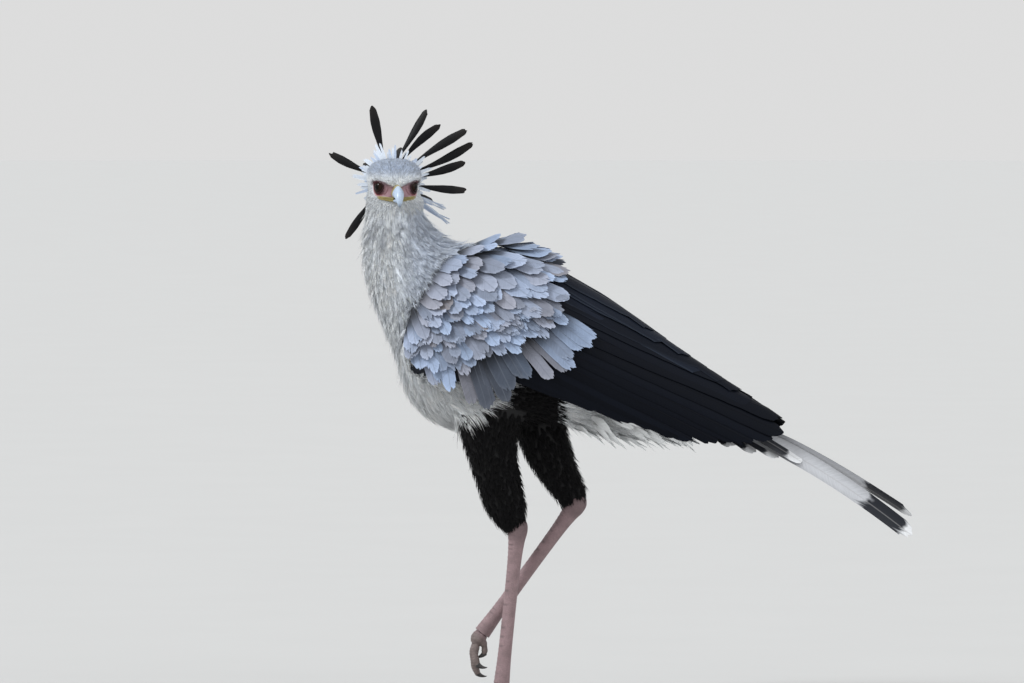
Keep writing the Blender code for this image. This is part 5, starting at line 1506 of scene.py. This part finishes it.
class BIRD_OT_crest(bpy.types.Operator):
    """Stands the crest quills and the pale nape feathers behind the head"""

    bl_idname = "bird.crest"
    bl_label = "Crest"

    def execute(self, context):
        colours = context.scene.bird_colours
        self.quills(colours)
        self.nape(colours)
        return {"FINISHED"}

    def quills(self, colours):
        """Long dark quills, narrow at the root and broad near the tip."""
        draw, rng = random.Random(3), np.random.default_rng(8)
        material = vane_material("crest_vane", 0.52, 0.0, 0.0003, (0.006, 0.006, 0.006), 0.12)
        shares = np.linspace(0, 1, 13)
        radius, ring_y, ring_z = CREST_RING
        lines, aside, width = [], [], []
        for sideways, up, back, angle in CREST_TIPS:
            turn = math.radians(angle)
            root = from_head([radius * math.cos(turn), ring_y, ring_z + radius * math.sin(turn)])
            tip = HEAD_CENTRE + [sideways, back, up]
            bow = draw.uniform(-0.006, 0.006)
            way = Vector((tip - root).tolist()).normalized()
            side = way.cross(Vector((0.0, -1.0, 0.0))).normalized()
            side = np.array(Matrix.Rotation(draw.uniform(-0.45, 0.45), 3, way) @ side)
            lines.append(bowed(root, tip, side, bow, shares))
            aside.append(side)
            width.append(CREST_WIDTH * rng.uniform(0.88, 1.04))

        def paint(points, t, u, s):
            base = mixed(colours.crest, [0.026, 0.022, 0.02], smooth_step(t, 0.7, 1.0) * 0.5)
            return base * rng.uniform(0.8, 1.3, (len(points), 1, 1, 1))

        batch = (np.array(lines), np.array(aside), np.array(width), None)
        free_vanes("crest_quills", batch, CREST_SHAPE, paint, material, "feather_black", rng)

    def nape(self, colours):
        """Pale rounded feathers round the back of the crown, and loose plumes behind them."""
        draw, rng = random.Random(11), np.random.default_rng(9)
        material = vane_material("nape_vane", 0.72, 0.15, 0.0003, (0.7, 0.72, 0.76), 0.2)
        lines, aside, width, places = [], [], [], []
        shares = np.linspace(0, 1, 7)
        for row, count in enumerate((30, 27, 22, 16)):
            for k in range(count):
                turn = math.radians(-38 + 256 * (k + 0.5 * (row % 2)) / (count - 1) + draw.uniform(-3, 3))
                out = unit(np.array([math.cos(turn), 0.42 + 0.3 * row, math.sin(turn) * 0.95]))
                root = [0.036 * math.cos(turn), 0.014 + 0.008 * row, 0.008 + 0.03 * math.sin(turn)]
                root = np.array(root) * [1 - 0.08 * row, 1, 1 - 0.08 * row]
                reach = draw.uniform(0.022, 0.044) + 0.012 * max(0.0, math.sin(turn))
                bend = np.array([0.0, 1.0, -0.25]) * 0.004 * draw.uniform(-0.4, 1.0)
                line = root + out * (reach * shares)[:, None] + bend * (shares ** 2)[:, None]
                lines.append(from_head(line))
                aside.append(HEAD_TURN @ unit(np.cross(out, [0.0, 1.0, 0.12 * draw.uniform(-1, 1)])))
                width.append(draw.uniform(0.0045, 0.0078))
                places.append([turn, 0.2 * row])
        for sideways, up, back in NAPE_PLUMES:
            for extra in range(5):
                root = from_head([0.024, 0.03, -0.012])
                tip = HEAD_CENTRE + [sideways, back, up]
                tip = tip + np.array([draw.uniform(-1, 0.3) for _ in range(3)]) * 0.01
                side = np.array(Vector((tip - root).tolist()).cross(Vector((0.0, 1.0, 0.0))).normalized())
                lines.append(bowed(root, tip, side, draw.uniform(-0.004, 0.004), shares))
                aside.append(side)
                width.append(draw.uniform(0.002, 0.0042))
                places.append([-0.5 + 0.02 * extra, 1.0])

        def paint(points, t, u, s):
            grey = rng.uniform(0.0, 1.0, (len(points), 1, 1)) < 0.25
            base = mixed(toned(colours.white, [0.68, 0.71, 0.76]), colours.crown, grey * 0.7)
            # Painted shade: darker towards the root, where the feathers overlap.
            return np.clip(base * (0.7 + 0.3 * smooth_step(t, 0.0, 0.5))[..., None], 0, 1)

        batch = [np.array(column) for column in (lines, aside, width, places)]
        free_vanes("nape_feathers", batch, NAPE_SHAPE, paint, material, "down", rng, strips=False)


# Face


def eye_point(side, angle, turn, reach):
    """World points round an eye: angle off the gaze, turn round it, and distance from its centre."""
    centre, gaze, across, up = eye_axes(side)
    angle, turn, reach = np.broadcast_arrays(angle, turn, reach)
    ring = np.cos(turn)[..., None] * across + np.sin(turn)[..., None] * up
    way = np.cos(angle)[..., None] * gaze + np.sin(angle)[..., None] * ring
    return centre + way * reach[..., None]


class BIRD_OT_face(bpy.types.Operator):
    """Makes the eyes, lids, lashes, bill and gape"""

    bl_idname = "bird.face"
    bl_label = "Face"

    def execute(self, context):
        colours = context.scene.bird_colours
        lid_skin = bare_material("lid_skin", colours.rim, toned(colours.rim, 0.5), 700.0)
        gape_skin = bare_material("gape_skin", colours.cere, toned(colours.cere, 0.75))
        lash = Finish("lash", 0.45, Base_Color=(0.006, 0.005, 0.005, 1.0)).material
        for side, name in ((1, "left"), (-1, "right")):
            self.eye(side, name, colours)
            self.lids(side, name, lid_skin)
            self.lashes(side, name, lash)
            self.gape(side, name, gape_skin)
        self.bill(colours)
        return {"FINISHED"}

    def eye(self, side, name, colours):
        """A smooth eyeball with a slightly bulging cornea."""
        centre, gaze, _, _ = eye_axes(side)
        bm = bmesh.new()
        turn = Vector(gaze.tolist()).to_track_quat("Z", "Y").to_matrix().to_4x4()
        place = Matrix.Translation(centre.tolist()) @ turn
        bmesh.ops.create_uvsphere(bm, u_segments=56, v_segments=36, radius=EYE_RADIUS, matrix=place)
        for vert in bm.verts:
            way = (vert.co - Vector(centre.tolist())).normalized()
            facing = max(0.0, way.dot(Vector(gaze.tolist())))
            vert.co += way * 0.0006 * max(0.0, (facing - 0.72) / 0.28) ** 1.5
        piece("eye_ball_" + name, bm, eye_material(colours, gaze, centre), ("eye_" + name,))

    def lids(self, side, name, material):
        """The rim of both lids: a thick soft ring that hugs the eyeball."""
        bm = bmesh.new()
        circle = bmesh.ops.create_circle(bm, segments=12, radius=0.3)["verts"]
        turn_up = Matrix.Translation((1.0, 0.0, 0.0)) @ Matrix.Rotation(math.pi / 2, 4, "X")
        bmesh.ops.transform(bm, matrix=turn_up, verts=circle)
        ring = circle + list(bm.edges)
        bmesh.ops.spin(bm, geom=ring, axis=UPWARDS, angle=2 * math.pi, steps=72, use_merge=True)
        verts = list(bm.verts)
        spots = np.array([vert.co for vert in verts])
        turn = np.arctan2(spots[:, 1], spots[:, 0])
        out, up = np.hypot(spots[:, 0], spots[:, 1]) - 1.0, spots[:, 2]
        upper = smooth_step(np.sin(turn), 0.1, 0.9)
        thick = 1.0 + 0.45 * upper
        angle = eye_opening(turn) + 0.085 * thick + out / 0.3 * 0.105 * thick
        reach = EYE_RADIUS + 0.0009 + up / 0.3 * 0.00125 * thick + 0.0002 * np.sin(turn * 23) * (out > 0)
        for vert, spot in zip(verts, eye_point(side, angle, turn, reach)):
            vert.co = spot
        piece("lids_" + name, bm, material)

    def lashes(self, side, name, material):
        """Long curved lashes of the upper lid and short ones under the eye."""
        rng = np.random.default_rng(31 + side)
        turn = np.concatenate([np.radians(np.linspace(12, 168, 34)), np.radians(np.linspace(215, 325, 14))])
        long = np.concatenate([np.full(34, 0.0085), np.full(14, 0.0035)]) * rng.uniform(0.8, 1.15, 48)
        share = np.linspace(0, 1, 5)[None]
        upper = (np.sin(turn) > 0)[:, None]
        angle = (eye_opening(turn) + 0.1)[:, None] + np.where(upper, 0.1 - 0.22 * share, 0.3 * share)
        reach = EYE_RADIUS + 0.0018 + long[:, None] * share
        centre = eye_point(side, angle, turn[:, None] + rng.normal(0, 0.03, (48, 1)) * share, reach)
        centre[..., 2] += np.where(upper, 0.0022 * share ** 2, 0.0)
        tangent = unit(np.gradient(centre, axis=1))
        _, gaze, _, _ = eye_axes(side)
        aside = unit(np.cross(tangent, gaze))
        up = np.cross(tangent, aside) * -1
        wide = np.broadcast_to(np.array([1.0, 0.85, 0.65, 0.4, 0.1]) * 0.00032, (48, 5))
        roots = np.stack([turn / 7.0, np.sin(turn) * 0.5 + 0.5], -1)
        marks = np.full((48, 5, 3), 0.006)
        obj = strand_mesh("lashes_" + name, centre, aside, up, wide, wide * 0.8, marks, roots, material)
        belong(obj)

    def gape(self, side, name, material):
        """Two soft yellow folds at the corner of the mouth."""
        bm = bmesh.new()
        shares = np.linspace(0, 1, 28)
        for drop, thick in ((0.0, 1.0), (-0.0036, 0.9)):
            line = line_points(GAPE, shares)
            line[:, 2] += np.interp(shares, [0, 0.8, 1], [drop, drop * 0.9, drop * 0.5])
            radii = 0.0023 * thick * np.sqrt(np.clip(np.sin(np.pi * (0.3 + 0.7 * shares)), 0.03, 1))
            line = from_head(line * [side, 1, 1])
            loft(bm, tube_rings(line.tolist(), radii.tolist(), 12, across=UPWARDS))
        piece("gape_" + name, bm, material)

    def bill(self, colours):
        """The hooked bill with its soft cere and slit nostrils."""
        material = bill_material()
        bm = bmesh.new()
        turns = around(40)
        share = 0.5 - 0.5 * np.cos(turns)
        round_side = np.sign(np.sin(turns)) * np.abs(np.sin(turns)) ** 0.85
        rings = []
        for place in np.linspace(0, len(UPPER_BILL) - 1, 64):
            top_y, top_z, low_y, low_z, half = rows_at(UPPER_BILL, place)
            # The cere is a slightly swollen cuff round the root of the horn.
            spread = round_side * (1.1 - (0.62 - 0.32 * smooth_step(place, 3.0, 6.0)) * share ** 1.3)
            swell = 0.0007 * (1 - smooth_step(place, 1.55, 1.75)) * (0.25 + 0.75 * share)
            y, z = low_y + (top_y - low_y) * share, low_z + (top_z - low_z) * share
            shift = (share - 0.5) * swell
            rings.append(from_head(np.stack([(half + swell) * spread, y, z + shift], -1)))
        loft(bm, rings)
        upper = piece("bill_upper_horn", bm, material, ("bill_upper",), sharp=40)
        cutters = []
        for side in (-1, 1):
            spot = from_head(NOSTRIL * [side, 1, 1])
            bm = bmesh.new()
            lean = Matrix.Rotation(HEAD_YAW, 4, "Z") @ Matrix.Rotation(math.radians(-32), 4, "X")
            slit = Matrix.Diagonal((0.0024, 0.0034, 0.00105, 1.0))
            place = Matrix.Translation(spot.tolist()) @ lean @ slit
            bmesh.ops.create_uvsphere(bm, u_segments=20, v_segments=12, radius=1.0, matrix=place)
            cutters.append(placed("nostril", mesh_of("nostril", bm)))
            hole = upper.modifiers.new("nostril", "BOOLEAN")
            hole.operation, hole.object, hole.solver = "DIFFERENCE", cutters[-1], "EXACT"
        upper.data = evaluated(upper)
        for cutter in cutters:
            bpy.data.objects.remove(cutter)
        upper.data.materials.clear()
        upper.data.materials.append(material)
        bm = bmesh.new()
        rings = []
        for place in np.linspace(0, len(LOWER_BILL) - 1, 30):
            y, top_z, low_z, half = rows_at(LOWER_BILL, place)
            z = (top_z + low_z) / 2 + (top_z - low_z) / 2 * np.sin(turns)
            rings.append(from_head(np.stack([half * np.cos(turns), np.full(40, y), z], -1)))
        loft(bm, rings)
        lower = piece("bill_lower_horn", bm, material, ("bill_lower",), sharp=40)
        for obj in (upper, lower):
            self.paint(obj, colours)

    def paint(self, obj, colours):
        """Marks of the bill: yellow cere, painted shade in the nostrils, blue-grey horn and a darker tip."""
        spots = points_of(obj.data)
        local = to_head(spots)
        front = local[:, 1] + 0.12 * (local[:, 2] + 0.008)
        horn = smooth_step(-front, 0.0515, 0.0545)
        tint = mixed(colours.cere, colours.bill, horn)
        tip = smooth_step(-local[:, 2], 0.026, 0.037) * horn
        tint = mixed(tint, toned(colours.bill, 0.42), tip)
        # Painted shade: near black in and round each nostril slit.
        for side in (-1, 1):
            away = (local - [side * 0.0118, -0.049, -0.005]) / [0.003, 0.0036, 0.0014]
            hole = np.linalg.norm(away, axis=1)
            tint = mixed(tint, [0.012, 0.009, 0.007], 1 - smooth_step(hole, 0.85, 1.15))
        carry(obj.data, tint)


# Legs


class BIRD_OT_legs(bpy.types.Operator):
    """Makes the scaled shanks, the feet and the claws"""

    bl_idname = "bird.legs"
    bl_label = "Legs"

    def execute(self, context):
        colours = context.scene.bird_colours
        shank = scale_material("shank_scales", colours.shank, toned(colours.shank, 0.72), 0.0022)
        foot = scale_material("foot_scales", colours.foot, toned(colours.foot, 0.7), 0.0019)
        claw = claw_material(colours.claw)
        for name, (_, _, ankle, joint) in LIMBS.items():
            self.shank(name, ankle, joint, shank)
            toes = self.toes(name, joint, ankle)
            self.foot(name, joint, ankle, toes, foot, colours)
            for label, (_, start, way, bend) in toes.items():
                self.claw("claw_%s_%s" % (name, label), start, way, bend, claw)
        return {"FINISHED"}

    def shank(self, name, ankle, joint, material):
        """The bare lower leg: overlapping scutes down its front and small scales behind."""
        bm = bmesh.new()
        places = np.linspace(0, len(SHANK_RINGS) - 1, SCUTE_STEPS)
        shares, scales = rows_at(SHANK_RINGS, places).T
        points = ankle + (joint - ankle) * shares[:, None]
        rings = tube_rings(points.tolist(), (SHANK_RADIUS * scales).tolist(), 32, 1.12)
        rings = np.array([[tuple(spot) for spot in ring] for ring in rings])
        away = rings - points[:, None]
        out = unit(away)
        front = smooth_step(-out[..., 0], 0.25, 0.65)
        scute = (shares * np.linalg.norm(joint - ankle) / SHANK_SCUTE) % 1.0
        step = np.where(scute < 0.85, scute / 0.85, (1 - scute) / 0.15)[:, None]
        rings = rings + out * ((0.0008 * step - 0.0003) * front)[..., None]
        loft(bm, rings)
        obj = piece("shank_skin_" + name, bm, material, ("shank_" + name,))
        spots = points_of(obj.data)
        along = (spots - ankle) @ (joint - ankle) / ((joint - ankle) @ (joint - ankle))
        groove = (along * np.linalg.norm(joint - ankle) / SHANK_SCUTE) % 1.0
        face = smooth_step(-unit(spots - ankle - along[:, None] * (joint - ankle))[:, 0], 0.25, 0.65)
        # Darker grooves between the front scutes; darker at the top, painted shade under the thigh feathers;
        # and a little darker at the lower end.
        shade = 1 - 0.45 * face * smooth_step(groove, 0.86, 0.97)
        shade = shade * np.interp(along, [-0.05, 0.05, 0.12, 0.9, 1.0], [0.55, 0.72, 1.0, 1.0, 0.8])
        carry(obj.data, shade[:, None])

    def toes(self, name, joint, ankle):
        """Each toe's centre line and radii, and where and which way its claw starts."""
        toes = {}
        along = unit(joint - ankle)
        for label, (turn, long, thick) in TOES.items():
            shares = np.linspace(0, 1, 26)
            bulge = 1.0 + 0.1 * np.cos(shares * TOE_SEGMENTS * math.pi)
            if name == "left":
                heading = np.array([-math.cos(turn), math.sin(turn), 0.0])
                radii = thick * (1.0 - 0.38 * shares) * bulge
                points = heading * (long * shares)[:, None] + [joint[0], 0.0, 0.0]
                points[:, 2] += radii * 0.78
                start = heading * (long - 0.003) + [joint[0], 0.0, thick * 0.62 + 0.0012]

                def way(angle, heading=heading):
                    drop = angle - 0.14
                    return Vector((heading * math.cos(drop) - np.array([0, 0, math.sin(drop)])).tolist())

                toes[label] = ((points, radii), start, way, 0.16)
                continue
            angle, bend = HIND_TOE_CURL if label == "hind" else FRONT_TOE_CURL
            aside = np.array([0.0, -math.sin(turn) * 0.38, 0.0])
            point, spots = joint + along * 0.006, []
            for k in range(TOE_SEGMENTS + 1):
                spots.append(point)
                down = np.array([-math.cos(angle), 0.0, -math.sin(angle)])
                point = point + (down + aside) * long * 0.95 / TOE_SEGMENTS
                angle += bend
            radii = thick * (1.0 - 0.4 * shares) * bulge
            points = rows_at(spots, shares * TOE_SEGMENTS)
            first = angle

            def way(turned, first=first):
                return Vector((-math.cos(first + turned), 0.0, -math.sin(first + turned)))

            toes[label] = ((points, radii), spots[-1] - down * 0.003, way, math.copysign(0.2, bend))
        return toes

    def foot(self, name, joint, ankle, toes, material, colours):
        """The pad and toes as one body, with scutes along the top of each toe."""
        bm, stands = bmesh.new(), name == "left"
        if stands:
            turns = around(40)
            rings = []
            for height, radius in rows_at(PAD_RINGS, np.linspace(0, len(PAD_RINGS) - 1, 13)):
                height = min(max(height, 0.0), PAD_RINGS[-1][0])
                x, y = joint[0] + radius * np.cos(turns), radius * np.sin(turns)
                rings.append(np.stack([x, y, np.full(40, height)], -1))
            loft(bm, rings)
        else:
            along = unit(joint - ankle)
            spots = [joint + along * step for step in (-0.004, 0.004, 0.012, 0.02)]
            loft(bm, tube_rings(spots, [0.0118, 0.014, 0.0135, 0.0085], 24))
        floor, flat = (0.0, 0.95) if stands else (None, 1.0)
        for (points, radii), _, way, _ in toes.values():
            aside = way(0.0).cross(Vector(UPWARDS)) if stands else Vector((0.0, 1.0, 0.0))
            rings = tube_rings(points.tolist(), radii.tolist(), 24, flat, floor, aside.normalized())
            loft(bm, rings)
        obj = piece("foot_skin_" + name, bm, material, ("foot_" + name,))
        mesh, bm = one_body(obj, FOOT_VOXEL, 1)
        bm.normal_update()
        verts = list(bm.verts)
        spots = np.array([vert.co for vert in verts])
        normals = np.array([vert.normal for vert in verts])
        best, along, top = np.full(len(spots), 9.0), np.zeros(len(spots)), np.zeros(len(spots))
        for (points, radii), _, _, _ in toes.values():
            gaps = np.linalg.norm(spots[:, None] - points[None], axis=2)
            nearest = gaps.argmin(1)
            far = gaps[np.arange(len(spots)), nearest]
            long = np.linalg.norm(points[-1] - points[0])
            ahead = unit(np.gradient(points, axis=0))[nearest]
            place = nearest / 25 * long + ((spots - points[nearest]) * ahead).sum(1)
            upward = np.array(UPWARDS if stands else (-1.0, 0.0, 0.25))
            facing = (normals * unit(upward - ahead * (ahead @ upward)[:, None])).sum(1)
            news = zip((far, place, facing), (best, along, top))
            best, along, top = (np.where(far < best, new, old) for new, old in news)
        scute = (along / TOE_SCUTE) % 1.0
        step = np.where(scute < 0.8, scute / 0.8, (1 - scute) / 0.2)
        amount = smooth_step(top, 0.1, 0.5)
        spots = spots + normals * ((0.0006 * step - 0.0002) * amount)[:, None]
        if stands:
            spots[:, 2] = np.maximum(spots[:, 2], 0.0)
        for vert, spot in zip(verts, spots):
            vert.co = spot
        settle(obj, mesh, bm)
        # The grey of the toes runs out into the pink of the shank over the pad.
        rise = smooth_step((spots - joint) @ unit(ankle - joint), -0.012, 0.007)[:, None]
        ratio = 0.8 * np.array(colours.shank) / np.array(colours.foot)
        groove = 1 - 0.4 * amount * smooth_step(scute, 0.8, 0.95)
        carry(obj.data, groove[:, None] * (1 + (ratio - 1) * rise))

    def claw(self, name, start, way, bend, material):
        """A smooth tapering claw."""
        points, radii = [], []
        point, angle = Vector(start.tolist()), 0.0
        for k in range(21):
            points.append(tuple(point))
            radii.append(CLAW_RADIUS * (1.0 - k / 4 / 5.4) * (1.0 if k < 20 else 0.8))
            point = point + way(angle) * CLAW_LENGTH / 20
            angle += bend / 4
        across = way(0.0).cross(way(0.5)).normalized()
        bm = bmesh.new()
        loft(bm, tube_rings(points, radii, 14, 1.25, across=across))
        piece(name + "_horn", bm, material, (name,))


# Studio


class BIRD_OT_studio(bpy.types.Operator):
    """Sets the floor, the lights and the camera"""

    bl_idname = "bird.studio"
    bl_label = "Studio"

    def execute(self, context):
        scene, look = context.scene, context.scene.bird_studio
        finish = Finish("floor", 0.9, Specular_IOR_Level=0.0)
        grain = finish.noise(finish.place(), 3.0, 4.0)
        tone = finish.mix(finish.between(grain, 0.3, 0.7), look.floor, toned(look.floor, 0.985))
        bm = bmesh.new()
        bmesh.ops.create_circle(bm, cap_ends=True, segments=96, radius=60.0)
        bmesh.ops.translate(bm, verts=bm.verts, vec=(0.0, 0.0, -0.0006))
        mesh = mesh_of("floor", bm)
        mesh.materials.append(finish.wear(tone))
        floor = placed("floor", mesh)

        world = bpy.data.worlds.new("studio")
        world.use_nodes = True
        back = world.node_tree.nodes["Background"]
        back.inputs["Color"].default_value = (1.0, 1.0, 1.0, 1.0)
        back.inputs["Strength"].default_value = look.sky
        scene.world = world
        for name, power, spread, turn in (
            ("key", look.key, 20.0, (46.0, 0.0, -62.0)), ("fill", look.key * 0.32, 60.0, (60.0, 0.0, 60.0)),
        ):
            lamp = bpy.data.lights.new(name, "SUN")
            lamp.energy, lamp.angle = power * 2.2, math.radians(spread)
            lamp.color = (0.95, 0.985, 1.0)
            placed(name, lamp, turn)

        camera = bpy.data.cameras.new("camera")
        camera.lens, camera.sensor_width = CAMERA_LENS, SENSOR_WIDTH
        view = placed("camera", camera)
        sideways, up = FRAME_SIZE[0] / 2 - SOLE_PIXEL[0], SOLE_PIXEL[1] - FRAME_SIZE[1] / 2
        target = Vector((sideways * PIXEL, 0.0, up * PIXEL))
        far = FRAME_SIZE[0] * PIXEL * CAMERA_LENS / SENSOR_WIDTH
        back_way = Vector((0.0, -math.cos(CAMERA_RISE), math.sin(CAMERA_RISE)))
        view.location = target + back_way * far
        view.rotation_euler = (-back_way).to_track_quat("-Z", "Y").to_euler()
        camera.clip_end = 200.0
        scene.camera = view
        scene.view_settings.view_transform = "Standard"
        return {"FINISHED"}


class BIRD_PT_panel(bpy.types.Panel):
    """The bird's sizes, colours and steps"""

    bl_idname = "BIRD_PT_panel"
    bl_label = "Secretary bird"
    bl_space_type = "VIEW_3D"
    bl_region_type = "UI"
    bl_category = "Bird"

    def draw(self, context):
        for settings in (getattr(context.scene, name) for name in SETTINGS):
            column = self.layout.column(align=True)
            for name in settings.__annotations__:
                column.prop(settings, name)
        for operator in OPERATORS:
            self.layout.operator(operator.bl_idname)


OPERATORS = (
    BIRD_OT_skin, BIRD_OT_down, BIRD_OT_wings, BIRD_OT_tail,
    BIRD_OT_crest, BIRD_OT_face, BIRD_OT_legs, BIRD_OT_studio,
)
SETTINGS = {"bird_plumage": BirdPlumage, "bird_colours": BirdColours, "bird_studio": BirdStudio}
CLASSES = (*SETTINGS.values(), *OPERATORS, BIRD_PT_panel)


def register():
    """Registers the classes and the settings."""
    for item in CLASSES:
        bpy.utils.register_class(item)
    for name, kind in SETTINGS.items():
        setattr(bpy.types.Scene, name, PointerProperty(type=kind))


def unregister():
    """Takes the settings and the classes away again."""
    for name in SETTINGS:
        delattr(bpy.types.Scene, name)
    for item in reversed(CLASSES):
        bpy.utils.unregister_class(item)


def main():
    """Builds the whole bird."""
    register()
    for operator in OPERATORS:
        group, name = operator.bl_idname.split(".")
        getattr(getattr(bpy.ops, group), name)()


if __name__ == "__main__":
    main()
